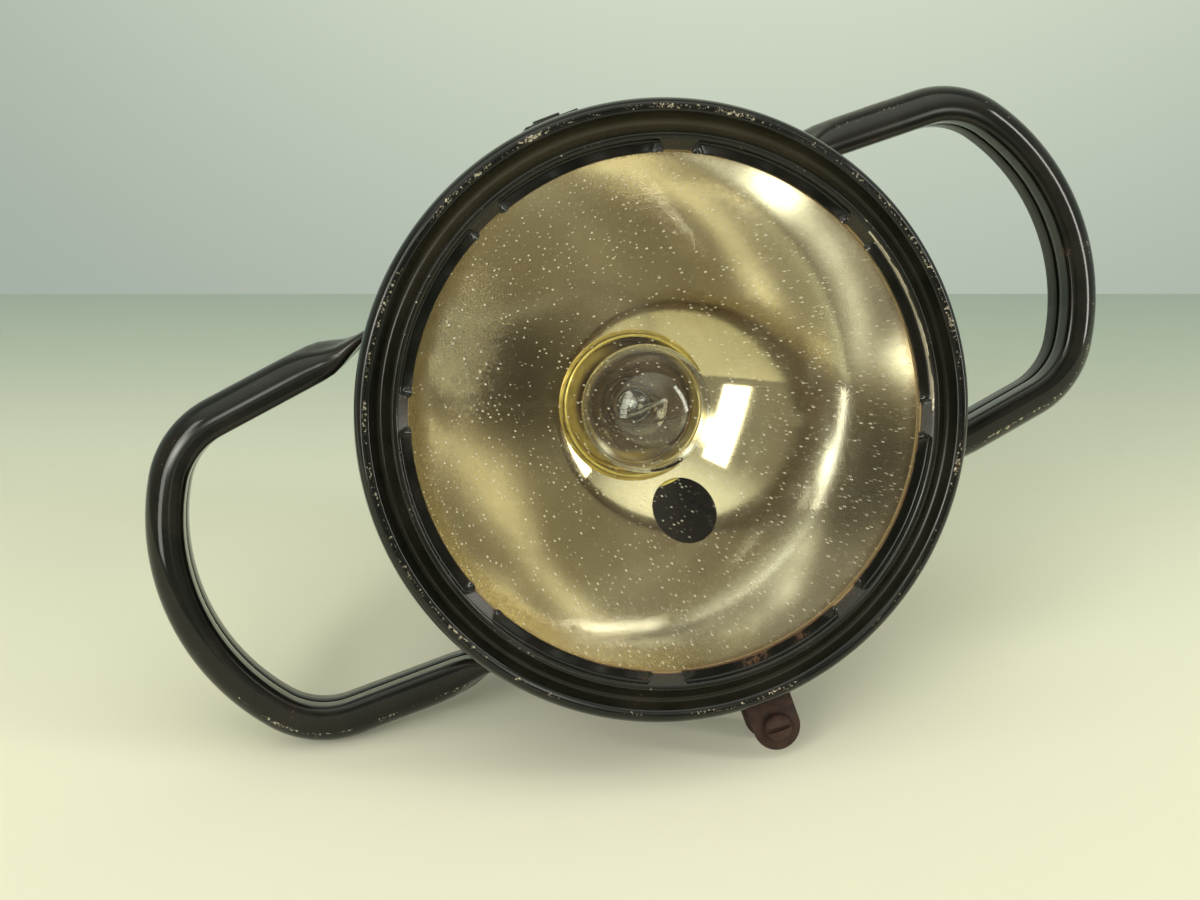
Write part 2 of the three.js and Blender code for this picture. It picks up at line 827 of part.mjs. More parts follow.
function handleShape() {
  const stations = handleStations();
  const rings = stations.map(({ point, normal, open }) => {
    const thickness = THREE.MathUtils.lerp(footThickness, gripThickness, open);
    const width = THREE.MathUtils.lerp(footWidth, gripWidth, open);
    const tilt = slopeAtHandle * (1 - open);
    const place = ([out, forward]) => {
      const away = out * Math.cos(tilt) + forward * Math.sin(tilt);
      const ahead = forward * Math.cos(tilt) - out * Math.sin(tilt);
      return [point.x + normal.x * away, point.y + normal.y * away, -handleDepth + ahead];
    };
    const outer = gripOutline(thickness, width, 0).map(place);
    const inner = gripOutline(thickness, width, gripWall).map(place);
    return [...outer, ...inner.reverse()];
  });
  const around = rings[0].length;
  const index = ringFaces(rings.length, around, false);
  const lastRing = (rings.length - 1) * around;
  for (let j = 0; j + 1 < around / 2; j += 1) {
    const [a, b, c, d] = [j, j + 1, around - 2 - j, around - 1 - j];
    index.push(a, c, b, a, d, c);
    index.push(lastRing + a, lastRing + b, lastRing + c, lastRing + a, lastRing + c, lastRing + d);
  }
  return lofted(rings, index);
}

// Rivets stand square to the housing's side, two in each foot. Their places are shared with their holes.
function rivetPlaces() {
  const stations = handleStations();
  const end = stations[0].point.angle();
  const start = stations[footSteps].point.angle();
  const angles = rivetPlaceShares.map((share) => THREE.MathUtils.lerp(start, end, share));
  return [...angles, ...angles.map((angle) => -angle)];
}

function onFoot(geometry, angle) {
  geometry.rotateY(quarter + slopeAtHandle);
  geometry.translate(footRadius, 0, -handleDepth);
  geometry.rotateZ(angle);
  return geometry;
}

function rivetShape() {
  const top = footThickness / 2 + gap;
  const bottom = -footThickness / 2 - gap - housingWall - gap * 2;
  const [domeAcross, domeUp] = rivetDomeShares;
  return turned([
    [0, top + rivetHeadHeight],
    [rivetHeadRadius * domeAcross, top + rivetHeadHeight * domeUp],
    [rivetHeadRadius, top],
    [rivetRadius, top],
    [rivetRadius, bottom],
    [rivetHeadRadius, bottom],
    [rivetHeadRadius, bottom - rivetHeadHeight / 2],
    [0, bottom - rivetHeadHeight / 2],
  ], smallSides);
}

const rivetAngles = rivetPlaces();
const holesOnRight = () => rivetAngles.map((angle) => {
  const reach = footThickness + housingWall + overrun;
  return onFoot(rod(rivetRadius + gap, reach, -reach, smallSides), angle);
});
const rightHandleShape = cut(handleShape(), ...holesOnRight());

function mirrored(geometry) {
  const copy = geometry.clone();
  copy.scale(-1, 1, 1);
  return welded(copy);
}

const rightHandle = piece('right_handle', rightHandleShape, looks.enamel, lamp);
const leftHandle = piece('left_handle', mirrored(rightHandleShape), looks.enamel, lamp);
rivetAngles.forEach((angle, i) => {
  piece(`right_handle_rivet_${i + 1}`, onFoot(rivetShape(), angle), looks.steel, lamp);
  piece(`left_handle_rivet_${i + 1}`, mirrored(onFoot(rivetShape(), angle)), looks.steel, lamp);
});

function housingShape() {
  const holes = [...holesOnRight(), ...holesOnRight().map(mirrored)];
  const gland = rod(glandRadius + gap, housingBack + overrun, housingBack - overrun, midSides);
  return cut(turned(housingProfile(), wideSides), ...holes, moved(gland, 0, -glandDrop, 0));
}

const housing = piece('housing', housingShape(), looks.enamel, lamp);

// Lug at the foot of the rim, its screw, and the tab and nut that take the screw

function roundEndedPlate(width, inner, outer, hole, front, back) {
  const half = width / 2;
  const outline = [[half, -inner], [-half, -inner], ...arc([0, -outer], half, 180, 360, smallSides / 2)];
  const bore = moved(rod(hole, front + overrun, back - overrun, smallSides), 0, -outer, 0);
  return cut(plate(outline, front, back), bore);
}

function lugShape() {
  const inner = skirtRadius + gap;
  const face = roundEndedPlate(
    lugWidth, inner, screwReach, screwRadius + screwPlay, -lugDepth, -lugDepth - lugWall,
  );
  const foot = block(lugWidth, lugWall, -lugDepth - lugWall / 2, -lugDepth - lugFoot);
  return join(face, moved(foot, 0, -inner - lugWall / 2, 0));
}

function tabShape() {
  const inner = housingAt(tabDepth).radius + gap;
  const hole = screwRadius + screwPlay;
  const face = roundEndedPlate(tabWidth, inner, screwReach, hole, -tabDepth, -tabDepth - tabWall);
  const foot = block(tabWidth, tabWall, -tabDepth - tabWall / 2, -tabDepth - tabFoot);
  return join(face, moved(foot, 0, -inner - tabWall / 2, 0));
}

function nutShape() {
  const front = -tabDepth - tabWall - gap;
  const solid = block(nutSize, nutSize, front, front - nutThickness);
  return cut(solid, rod(screwRadius + screwPlay, 0, front - nutThickness - overrun, smallSides));
}

function screwShape() {
  const seat = -lugDepth + gap;
  const body = turned([
    [0, seat + screwHeadHeight],
    [screwHeadRadius / 2, seat + screwHeadHeight * screwDomeShare],
    [screwHeadRadius, seat + screwHeadHeight / 3],
    [screwHeadRadius, seat],
    [screwRadius, seat],
    [screwRadius, seat - screwLength],
    [0, seat - screwLength],
  ], screwSides);
  const slotFloor = seat + screwHeadHeight - screwSlotDepth;
  const slotLength = (screwHeadRadius + overrun) * 2;
  const slot = block(slotLength, screwSlotWidth, seat + screwHeadHeight + overrun, slotFloor);
  slot.rotateZ(radians(screwSlotDeg));
  return cut(body, slot);
}

piece('screw_lug', lugShape(), looks.rust, lugSide);
const tab = piece('screw_tab', tabShape(), looks.rust, lugSide);
const nut = piece('tab_nut', nutShape(), looks.rust, lugSide);
const screw = piece('rim_screw', screwShape(), looks.rust, lugSide);
nut.position.y = -screwReach;
screw.position.y = -screwReach;

// Hook and tongue at the top of the rim

const hingeRadius = skirtRadius + hingeRise;

function tongueShape() {
  const bottom = hingeRadius - tongueWall / 2;
  const tongue = block(tongueWidth, tongueWall, -tongueFront, -tongueBack);
  const [slotFront, slotBack] = [-hingeDepth + tongueSlotHalf, -hingeDepth - tongueSlotHalf];
  const slot = block(tongueSlotWidth, tongueWall + overrun, slotFront, slotBack);
  return moved(cut(tongue, slot), 0, bottom + tongueWall / 2, 0);
}

function hookShape() {
  const front = -hingeDepth + hookWall / 2;
  const back = -hingeDepth - hookWall / 2;
  const seat = housingAt(hingeDepth).radius + gap;
  const sunk = housingAt(hingeDepth + hookFoot).radius + gap;
  const under = hingeRadius + tongueWall / 2 + gap;
  return strip([
    [seat, front],
    [under + hookWall, front],
    [under + hookWall, back - hookTip],
    [under, back - hookTip],
    [under, back],
    [seat + hookWall, back],
    [sunk + hookWall, back - hookFoot],
    [sunk, back - hookFoot],
  ], hookWidth);
}

piece('rim_hook', tongueShape(), looks.enamel, rimSide);
piece('housing_hook', hookShape(), looks.enamel, rimSide);

// Cable gland through the back, and the terminal block inside

function glandShape() {
  const back = housingBack - gap;
  const hexagon = turned([
    [glandBore, back],
    [glandHexRadius, back],
    [glandHexRadius, back - glandHexHeight],
    [glandBore, back - glandHexHeight],
  ], hexSides);
  const thread = ring(glandBore, glandRadius, back + glandThread, back - glandHexHeight, midSides);
  const nose = turned([
    [glandBore, back - glandHexHeight + gap],
    [glandRadius + glandCollar / 4, back - glandHexHeight + gap],
    [glandRadius, back - glandHexHeight - glandCollar],
    [glandBore, back - glandHexHeight - glandCollar],
  ], midSides);
  const bore = rod(glandBore, 0, back - glandHexHeight - overrun, midSides);
  return join(cut(hexagon, bore), thread, nose);
}

function glandNutShape() {
  const seat = housingBack + housingWall + gap;
  const hexagon = rod(glandHexRadius, seat + glandNutHeight, seat, hexSides);
  return cut(hexagon, rod(glandRadius + gap, 0, housingBack, midSides));
}

const gland = piece('cable_gland', glandShape(), looks.brass, lamp);
const glandNut = piece('gland_nut', glandNutShape(), looks.brass, lamp);
gland.position.y = -glandDrop;
glandNut.position.y = -glandDrop;

const blockFoot = housingBack + housingWall + gap;

function terminalBlockShape() {
  const body = block(blockWidth, blockHeight, blockFoot + blockDepth, blockFoot);
  const tools = [-1, 1].flatMap((side) => {
    const x = (side * blockWellSpacing) / 2;
    const well = rod(blockWellRadius, 0, blockFoot + blockDepth / 3, smallSides);
    const wire = rod(blockWellRadius / 2, blockHeight, -blockHeight, smallSides);
    wire.rotateX(quarter);
    wire.translate(x, 0, blockFoot + blockDepth / 2);
    return [moved(well, x, 0, 0), wire];
  });
  return cut(body, ...tools);
}

function terminalScrewShape() {
  const foot = blockFoot + blockDepth / 3 + gap;
  const top = foot + blockScrewLength;
  const body = rod(blockScrewRadius, top, foot, smallSides);
  const slotLength = (blockScrewRadius + overrun) * 2;
  const slot = block(slotLength, blockScrewRadius / 3, top + overrun, top - blockScrewRadius / 2);
  return cut(body, slot);
}

const terminals = piece('terminal_block', terminalBlockShape(), looks.phenolic, lamp);
terminals.position.y = blockRise;
for (const [side, word] of [[-1, 'left'], [1, 'right']]) {
  const terminalScrew = piece(`terminal_screw_${word}`, terminalScrewShape(), looks.brass, lamp);
  terminalScrew.position.set((side * blockWellSpacing) / 2, blockRise, 0);
}

// Rest attitude

function lowest(mesh, up) {
  const place = mesh.geometry.getAttribute('position');
  const point = new THREE.Vector3();
  let low = Infinity;
  for (let i = 0; i < place.count; i += 1) {
    point.fromBufferAttribute(place, i).applyMatrix4(mesh.matrixWorld);
    low = Math.min(low, point.dot(up));
  }
  return low;
}

// Heights of the left handle and of the housing above the tab, at a roll and a lean
function unevenness(roll, lean) {
  const up = new THREE.Vector3(
    Math.sin(roll) * Math.cos(lean),
    Math.cos(roll) * Math.cos(lean),
    Math.sin(lean),
  );
  const base = lowest(tab, up);
  return [lowest(leftHandle, up) - base, lowest(housing, up) - base];
}

// Newton's method on the two heights
function settled() {
  let roll = radians(startRollDeg);
  let lean = radians(startLeanDeg);
  for (let i = 0; i < settleRounds; i += 1) {
    const [a, b] = unevenness(roll, lean);
    const [aRoll, bRoll] = unevenness(roll + settleStep, lean);
    const [aLean, bLean] = unevenness(roll, lean + settleStep);
    const [m, n] = [(aRoll - a) / settleStep, (aLean - a) / settleStep];
    const [p, q] = [(bRoll - b) / settleStep, (bLean - b) / settleStep];
    const scale = m * q - n * p;
    roll -= (a * q - b * n) / scale;
    lean -= (b * m - a * p) / scale;
  }
  return { roll, lean };
}

lamp.updateMatrixWorld(true);
const { roll, lean } = settled();
lamp.rotation.z = roll;
leaning.rotation.x = quarter - lean;
leaning.add(lamp);
spotlight.add(leaning);
spotlight.updateMatrixWorld(true);
const bounds = new THREE.Box3().setFromObject(spotlight, true);
const middle = bounds.getCenter(new THREE.Vector3());
leaning.position.set(-middle.x, -middle.y, -bounds.min.z);
spotlight.updateMatrixWorld(true);

export default spotlight;
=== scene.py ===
"""A vehicle spotlight: a pressed rim over a glass and a dished reflector, a drum behind them
and a loop handle rolled from sheet on each side. Shapes are written in millimetres in the lamp's
own frame: x towards the right handle, y towards 12 o'clock, z out of the glass, with the lip of
the rim at z = 0. Angles written as bare numbers are in degrees."""
import math

import bmesh
import bpy
import numpy as np
from mathutils import Matrix, Vector


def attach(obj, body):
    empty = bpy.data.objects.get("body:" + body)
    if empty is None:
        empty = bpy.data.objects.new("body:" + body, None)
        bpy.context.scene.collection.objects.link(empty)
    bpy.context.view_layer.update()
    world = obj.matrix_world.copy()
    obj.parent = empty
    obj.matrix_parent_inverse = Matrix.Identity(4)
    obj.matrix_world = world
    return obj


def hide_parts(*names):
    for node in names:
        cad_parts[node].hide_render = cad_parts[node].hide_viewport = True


MM = 0.001

# Room between pieces that touch on the real lamp
GAP = 0.3

# How the lamp rests: it leans back and is rolled onto one handle
LEAN = math.radians(19.430016)
ROLL = math.radians(19.104155)
REST_POINT = Vector((0.0, -60.186739, 119.404913)) * MM
LAMP = (
    Matrix.Translation(REST_POINT)
    @ Matrix.Rotation(math.pi / 2 - LEAN, 4, "X")
    @ Matrix.Rotation(ROLL, 4, "Z")
)
LAMP_MM = LAMP @ Matrix.Scale(MM, 4)

# How far the rim is turned from 12 o'clock, and the lug from 6 o'clock
RIM_TURN = -2.2
LUG_TURN = -3.4

# Stack behind the lip
GLASS_FRONT, GLASS_BACK = -4.8, -7.3
GLASS_RADIUS = 85.4
SEAL_FRONT, SEAL_BACK = -3.9, -8.2
DISH_FRONT = -8.5
DISH_FOCUS = 27.0
DISH_RADIUS = 85.0
DISH_BOTTOM = DISH_FRONT - DISH_RADIUS**2 / (4 * DISH_FOCUS)
COLLAR_BORE = 24.9
COLLAR_WALL = 1.1
HANDLE_DEPTH = 57.0

# The drum's side is a wide bow, from its mouth to the round corner before its flat back
MOUTH = (95.5, -23)
SIDE_BOW = 509
MOUTH_TURN, CORNER_TURN = 1, 12
CORNER_RADIUS = 22
DRUM_BACK = -137.37
SIDE_CENTRE = (
    MOUTH[0] - SIDE_BOW * math.cos(math.radians(MOUTH_TURN)),
    MOUTH[1] + SIDE_BOW * math.sin(math.radians(MOUTH_TURN)),
)


def housing_slope(depth):
    return math.asin((depth + SIDE_CENTRE[1]) / SIDE_BOW)


def housing_radius(depth):
    return SIDE_CENTRE[0] + SIDE_BOW * math.cos(housing_slope(depth))


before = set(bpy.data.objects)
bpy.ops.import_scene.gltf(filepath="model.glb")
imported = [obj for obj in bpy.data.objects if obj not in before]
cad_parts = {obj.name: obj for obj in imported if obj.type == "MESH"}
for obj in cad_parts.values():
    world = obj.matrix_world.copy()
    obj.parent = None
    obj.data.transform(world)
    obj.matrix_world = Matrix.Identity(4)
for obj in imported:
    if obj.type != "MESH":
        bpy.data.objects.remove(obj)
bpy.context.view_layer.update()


def placed(name, data):
    made = bpy.data.objects.new(name, data)
    bpy.context.scene.collection.objects.link(made)
    return made


# Camera, at the photograph's angle


def place_camera():
    focal, distance = 1450.0, 458.47
    aside, above, roll = (math.radians(a) for a in (12.0, 3.1, 23.47))
    width, centre = 1200.0, Vector((600.0, 450.0))
    lip = Vector((674.04, 415.52))
    seen = Vector((lip.x - centre.x, centre.y - lip.y)) * (distance / focal)
    middle = Vector((seen.x, seen.y, -distance))
    facing = (
        Matrix.Rotation(above, 3, "X")
        @ Matrix.Rotation(aside, 3, "Y")
        @ Matrix.Rotation(roll, 3, "Z")
    )
    aim = Vector((0, 0, -1)).rotation_difference(middle).to_matrix()
    turn = (aim @ facing).transposed()
    eye = -(turn @ middle)
    data = bpy.data.cameras.new("camera")
    data.sensor_width = 36.0
    data.lens = focal * data.sensor_width / width
    data.clip_start, data.clip_end = 0.01, 20.0
    camera = placed("camera", data)
    camera.matrix_world = LAMP @ Matrix.Translation(eye * MM) @ turn.to_4x4()
    bpy.context.scene.camera = camera


place_camera()


# Node trees, written as sums


class Signal:
    """A node's output, for use in sums."""

    def __init__(self, net, outputs, key=0):
        self.net, self.outputs = net, outputs
        self.socket = outputs[key]

    def out(self, key):
        return Signal(self.net, self.outputs, key)

    def sum(self, operation, *values, clamp=False):
        return self.net.node(
            "ShaderNodeMath", dict(enumerate(values)), operation=operation, use_clamp=clamp
        )

    def __add__(self, other):
        return self.sum("ADD", self, other)

    def __sub__(self, other):
        return self.sum("SUBTRACT", self, other)

    def __rsub__(self, other):
        return self.sum("SUBTRACT", other, self)

    def __mul__(self, other):
        return self.sum("MULTIPLY", self, other)

    def __truediv__(self, other):
        return self.sum("DIVIDE", self, other)

    def __pow__(self, other):
        return self.sum("POWER", self, other)

    def __gt__(self, other):
        return self.sum("GREATER_THAN", self, other)

    def __lt__(self, other):
        return self.sum("LESS_THAN", self, other)

    __radd__ = __add__
    __rmul__ = __mul__

    def most(self, other):
        return self.sum("MAXIMUM", self, other)

    def share(self):
        return self.sum("ADD", self, 0.0, clamp=True)

    def wave(self):
        return self.sum("COSINE", self)

    def rise(self, low, high):
        """0 below low, 1 above high, and smooth between."""
        inputs = {"Value": self, "From Min": low, "From Max": high}
        return self.net.node("ShaderNodeMapRange", inputs, interpolation_type="SMOOTHSTEP")


class Net:
    """A node tree that grows by calls."""

    def __init__(self, tree):
        self.tree = tree

    def node(self, kind, inputs=None, **settings):
        made = self.tree.nodes.new(kind)
        for key, value in settings.items():
            setattr(made, key, value)
        for key, value in (inputs or {}).items():
            self.feed(made, key, value)
        return Signal(self, made.outputs) if len(made.outputs) else made

    def feed(self, made, key, value):
        named = [s for s in made.inputs if key in (s.identifier, s.name)]
        socket = made.inputs[key] if isinstance(key, int) else named[0]
        if isinstance(value, Signal):
            self.tree.links.new(value.socket, socket)
        else:
            socket.default_value = value

    def blend(self, factor, a, b):
        paint = [(*c, 1.0) if isinstance(c, tuple) else c for c in (a, b)]
        inputs = {"Factor_Float": factor, "A_Color": paint[0], "B_Color": paint[1]}
        return self.node("ShaderNodeMix", inputs, data_type="RGBA").out(2)

    def layered(self, colour, *layers):
        """A colour with layers of [factor, colour] over it."""
        for factor, over in layers:
            colour = self.blend(factor, colour, over)
        return colour

    def mixed(self, factor, a, b):
        return self.node("ShaderNodeMixShader", {0: factor, 1: a, 2: b})

    def noise(self, place, scale, detail, roughness=0.55):
        inputs = {"Vector": place, "Scale": scale, "Detail": detail, "Roughness": roughness}
        return self.node("ShaderNodeTexNoise", inputs)

    def attribute(self, name):
        return self.node("ShaderNodeAttribute", attribute_name=name).out("Fac")


class Finish(Net):
    """A material with one principled shader. Constants go on the shader's own sockets."""

    def __init__(self, name, **constants):
        self.material = bpy.data.materials.new(name)
        self.material.use_nodes = True
        super().__init__(self.material.node_tree)
        self.tree.nodes.clear()
        self.shader = self.tree.nodes.new("ShaderNodeBsdfPrincipled")
        self.surface = Signal(self, self.shader.outputs)
        for key, value in constants.items():
            self.shader.inputs[key.replace("_", " ")].default_value = value

    def show(self, **signals):
        for key, value in signals.items():
            self.feed(self.shader, key.replace("_", " "), value)

    def bump(self, height, distance, strength):
        inputs = {"Height": height, "Distance": distance, "Strength": strength}
        self.show(Normal=self.node("ShaderNodeBump", inputs))

    def lamp_place(self):
        """Millimetres in the lamp's frame."""
        place = self.node("ShaderNodeTexCoord").out("Object")
        inputs = {
            "Vector": place,
            "Location": REST_POINT,
            "Rotation": LAMP.to_euler("XYZ"),
            "Scale": (MM, MM, MM),
        }
        return self.node("ShaderNodeMapping", inputs, vector_type="TEXTURE")

    def polar(self, place):
        parts = self.node("ShaderNodeSeparateXYZ", {"Vector": place})
        x, y = parts.out("X"), parts.out("Y")
        return (x * x + y * y) ** 0.5, y.sum("ARCTAN2", y, x)

    def done(self, surface=None):
        output = self.tree.nodes.new("ShaderNodeOutputMaterial")
        self.tree.links.new((surface or self.surface).socket, output.inputs["Surface"])
        return self.material


# Finishes


def black_enamel():
    finish = Finish("black_enamel", Coat_Roughness=0.04, Specular_IOR_Level=0.3)
    place = finish.lamp_place()
    grain = finish.noise(place, 0.9, 8.0, 0.7)
    cloud = finish.noise(place, 0.07, 3.0)
    fleck = finish.noise(place, 2.6, 3.0)
    wear_and_highlight = finish.attribute("wear_and_highlight")
    rust = finish.attribute("rust")
    dust = finish.attribute("dust")
    # The wear channel also holds painted highlights, so this pale layer is partly bare metal and
    # partly a painted highlight.
    bare_and_highlight = (wear_and_highlight + (grain - 0.5) * 1.1 + (cloud - 0.5) * 0.6).rise(0.68, 0.78)
    rusted = (rust * 0.9 + (cloud - 0.5) * 1.5 + (grain - 0.5) * 0.7).rise(0.62, 0.8)
    film = (dust * (0.55 + fleck * 0.6)).share()
    speck = fleck.rise(0.7, 0.74) * dust.rise(0.1, 0.5)
    brown = finish.blend(fleck, (0.05, 0.022, 0.012), (0.14, 0.07, 0.035))
    pale = finish.blend(fleck, (0.30, 0.26, 0.18), (0.68, 0.62, 0.48))
    paint = finish.layered(
        (0.004, 0.005, 0.004),
        (cloud.rise(0.35, 0.7), (0.011, 0.010, 0.008)),
        (film * 0.4, (0.10, 0.078, 0.036)),
        (rusted, brown),
        (bare_and_highlight, pale),
        (speck * 0.5, (0.5, 0.45, 0.33)),
    )
    matte = film * 0.5 + rusted * 0.5 + speck * 0.3
    finish.show(
        Base_Color=paint,
        Metallic=(bare_and_highlight * 0.3).share(),
        Roughness=(0.05 + cloud * 0.06 + bare_and_highlight * 0.2 + matte).share(),
        Coat_Weight=(0.1 - matte - bare_and_highlight * 0.5).share(),
    )
    finish.bump(finish.noise(place, 0.12, 1.0) + grain * (rusted + bare_and_highlight) * 0.6, 0.0001, 0.3)
    return finish.done()


def tarnished_metal():
    """The dish: polished metal gone olive, with a yellow band along its left edge."""
    finish = Finish("tarnished_metal", Metallic=1.0)
    place = finish.lamp_place()
    radius, angle = finish.polar(place)
    cloud = finish.noise(place, 0.035, 4.0, 0.6)
    mottle = finish.noise(place, 0.25, 6.0, 0.65)
    fleck = finish.noise(place, 1.3, 4.0)
    side = (angle - math.radians(188)).wave().rise(-0.2, 0.7)
    band = (radius + (mottle - 0.5) * 5 + (cloud - 0.5) * 5).rise(75.5, 81.0) * side
    edge = (radius + (mottle - 0.5) * 3).rise(82, 84.5)
    spots = fleck.rise(0.66, 0.7) * radius.rise(72, 82)
    colour = finish.layered(
        (0.86, 0.81, 0.70),
        (cloud.rise(0.3, 0.7), (0.78, 0.72, 0.60)),
        (mottle.rise(0.35, 0.8) * 0.45, (0.72, 0.66, 0.53)),
        (band * 0.8, (0.40, 0.30, 0.10)),
        (edge * 0.6, (0.34, 0.20, 0.08)),
        (spots * 0.7, (0.10, 0.06, 0.02)),
    )
    roughness = (0.045 + cloud * 0.05 + band * 0.16 + spots * 0.3).share()
    finish.show(Base_Color=colour, Roughness=roughness)
    finish.bump(finish.noise(place, 0.015, 1.0), 0.0012, 0.15)
    return finish.done()


def glass_finish(name, colour):
    settings = {"IOR": 1.45, "Roughness": 0.0, "Specular_IOR_Level": 0.2}
    return Finish(name, Transmission_Weight=1.0, **settings, Base_Color=(*colour, 1.0))


def clear_for_light(finish):
    """Lets the light through to what stands behind the glass."""
    path = finish.node("ShaderNodeLightPath")
    passing = path.out("Is Shadow Ray").most(path.out("Is Diffuse Ray"))
    through = finish.node("ShaderNodeBsdfTransparent", {"Color": (0.93, 0.95, 0.91, 1.0)})
    return finish.mixed(passing, finish.surface, through)


def dusty_glass():
    """The pane, with pale specks and a thin film of dust."""
    finish = glass_finish("dusty_glass", (0.95, 0.97, 0.94))
    place = finish.lamp_place()
    cells = {"Vector": place, "Scale": 0.7, "Randomness": 1.0}
    near = finish.node("ShaderNodeTexVoronoi", cells, voronoi_dimensions="2D")
    chance = finish.node("ShaderNodeSeparateColor", {0: near.out("Color")})
    spread = finish.noise(place, 0.03, 3.0)
    size = chance.out(1) * chance.out(1) * 0.15 + 0.052
    speck = (near.out("Distance") < size) * (chance.out(0) > 0.99 - spread * 0.5)
    film = finish.noise(place, 0.05, 5.0).rise(0.35, 0.8) * 0.012 + 0.002
    inputs = {"Color": (0.78, 0.72, 0.56, 1.0), "Roughness": 1.0}
    dust = finish.node("ShaderNodeBsdfDiffuse", inputs)
    covered = (speck * 0.55).most(film)
    return finish.done(finish.mixed(covered, clear_for_light(finish), dust))


def bulb_glass():
    finish = glass_finish("bulb_glass", (0.95, 0.91, 0.79))
    return finish.done(clear_for_light(finish))


def brass(name, bright, dull, soot, sooty_within=0.0):
    """Old brass. With a radius given it is burnt dark, save on the left outside that radius."""
    finish = Finish(name, Metallic=0.6)
    place = finish.lamp_place()
    cloud = finish.noise(place, 0.18, 5.0, 0.6)
    stain = finish.noise(place, 0.9, 6.0, 0.7)
    stained = (stain + soot).rise(0.6, 0.75)
    layers = [(cloud.rise(0.3, 0.75), dull), (stained * 0.8, (0.07, 0.045, 0.02))]
    colour = finish.layered(bright, *layers)
    if sooty_within:
        radius, angle = finish.polar(place)
        clean = radius.rise(sooty_within, sooty_within + 3.0)
        clean = clean * (angle - math.radians(178)).wave().rise(-0.3, 0.4)
        burnt = finish.blend(cloud, (0.16, 0.09, 0.04), (0.07, 0.035, 0.015))
        colour = finish.blend(clean, burnt, colour)
    finish.show(Base_Color=colour, Roughness=(0.22 + cloud * 0.2 + stained * 0.3).share())
    finish.bump(stain, 0.0001, 0.3)
    return finish.done()


def rusty_steel():
    finish = Finish("rusty_steel", Specular_IOR_Level=0.35)
    place = finish.lamp_place()
    cloud = finish.noise(place, 0.22, 5.0, 0.6)
    scale = finish.noise(place, 1.6, 8.0, 0.75)
    colour = finish.layered(
        (0.020, 0.011, 0.008),
        (cloud.rise(0.3, 0.7), (0.055, 0.025, 0.016)),
        (scale.rise(0.55, 0.8) * 0.7, (0.11, 0.052, 0.030)),
    )
    finish.show(
        Base_Color=colour,
        Metallic=(0.35 - scale * 0.3).share(),
        Roughness=(0.42 + scale * 0.4).share(),
    )
    finish.bump(scale + cloud, 0.0004, 0.6)
    return finish.done()


def clip_steel():
    finish = Finish("clip_steel", Metallic=1.0)
    place = finish.lamp_place()
    cloud = finish.noise(place, 0.3, 5.0)
    stain = finish.noise(place, 1.2, 6.0, 0.7).rise(0.58, 0.72)
    layers = [(cloud, (0.22, 0.20, 0.17)), (stain, (0.10, 0.05, 0.03))]
    colour = finish.layered((0.36, 0.35, 0.32), *layers)
    finish.show(Base_Color=colour, Roughness=(0.32 + cloud * 0.15 + stain * 0.3).share())
    return finish.done()


def brown_phenolic():
    finish = Finish("brown_phenolic", Specular_IOR_Level=0.5)
    place = finish.lamp_place()
    swirl = finish.noise(place, 0.35, 5.0, 0.7)
    colour = finish.blend(swirl.rise(0.35, 0.7), (0.045, 0.020, 0.011), (0.10, 0.045, 0.02))
    finish.show(Base_Color=colour, Roughness=(0.3 + swirl * 0.25).share())
    return finish.done()


def tan_packing():
    finish = Finish("tan_packing", Specular_IOR_Level=0.2)
    place = finish.lamp_place()
    fibre = finish.noise(place, 1.1, 7.0, 0.7)
    colour = finish.blend(fibre, (0.20, 0.13, 0.065), (0.42, 0.30, 0.16))
    finish.show(Base_Color=colour, Roughness=(0.75 + fibre * 0.2).share())
    finish.bump(fibre, 0.0003, 0.6)
    return finish.done()


def filament_wire():
    finish = Finish("filament_wire", Metallic=1.0)
    drawn = finish.noise(finish.lamp_place(), 2.0, 3.0)
    colour = finish.blend(drawn, (0.30, 0.30, 0.29), (0.48, 0.47, 0.44))
    finish.show(Base_Color=colour, Roughness=(0.3 + drawn * 0.2).share())
    return finish.done()


FINISHES = {
    "enamel": black_enamel(),
    "dish": tarnished_metal(),
    "pane": dusty_glass(),
    "bulb": bulb_glass(),
    "brass": brass("old_brass", (0.88, 0.70, 0.20), (0.66, 0.49, 0.12), -0.06),
    "burnt": brass("burnt_brass", (0.80, 0.60, 0.17), (0.60, 0.43, 0.11), -0.04, 18.0),
    "sooty": brass("sooty_brass", (0.17, 0.09, 0.035), (0.08, 0.04, 0.016), 0.03),
    "rust": rusty_steel(),
    "clip": clip_steel(),
    "phenolic": brown_phenolic(),
    "packing": tan_packing(),
    "wire": filament_wire(),
}


# Mesh helpers


def as_mesh(name, points, faces, marks=None):
    """A mesh from points and faces. Marks are numbers on its points, by name."""
    mesh = bpy.data.meshes.new(name)
    mesh.from_pydata([tuple(p) for p in points], [], [tuple(int(i) for i in f) for f in faces])
    for mark, values in (marks or {}).items():
        layer = mesh.attributes.new(mark, "FLOAT", "POINT")
        layer.data.foreach_set("value", np.asarray(values, np.float32))
    return mesh


def piece(name, mesh, finish, body, stands_for, turn=0.0, sharp=35.0):
    """Puts a mesh in lamp millimetres in its resting place, with its finish, on its body."""
    mesh.transform(LAMP_MM @ Matrix.Rotation(math.radians(turn), 4, "Z"))
    mesh.materials.clear()
    mesh.materials.append(FINISHES[finish])
    mesh.shade_smooth()
    mesh.set_sharp_from_angle(angle=math.radians(sharp))
    made = placed(name, mesh)
    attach(made, body)
    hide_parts(*stands_for)


def scratch(mesh):
    return placed("scratch_" + mesh.name, mesh)


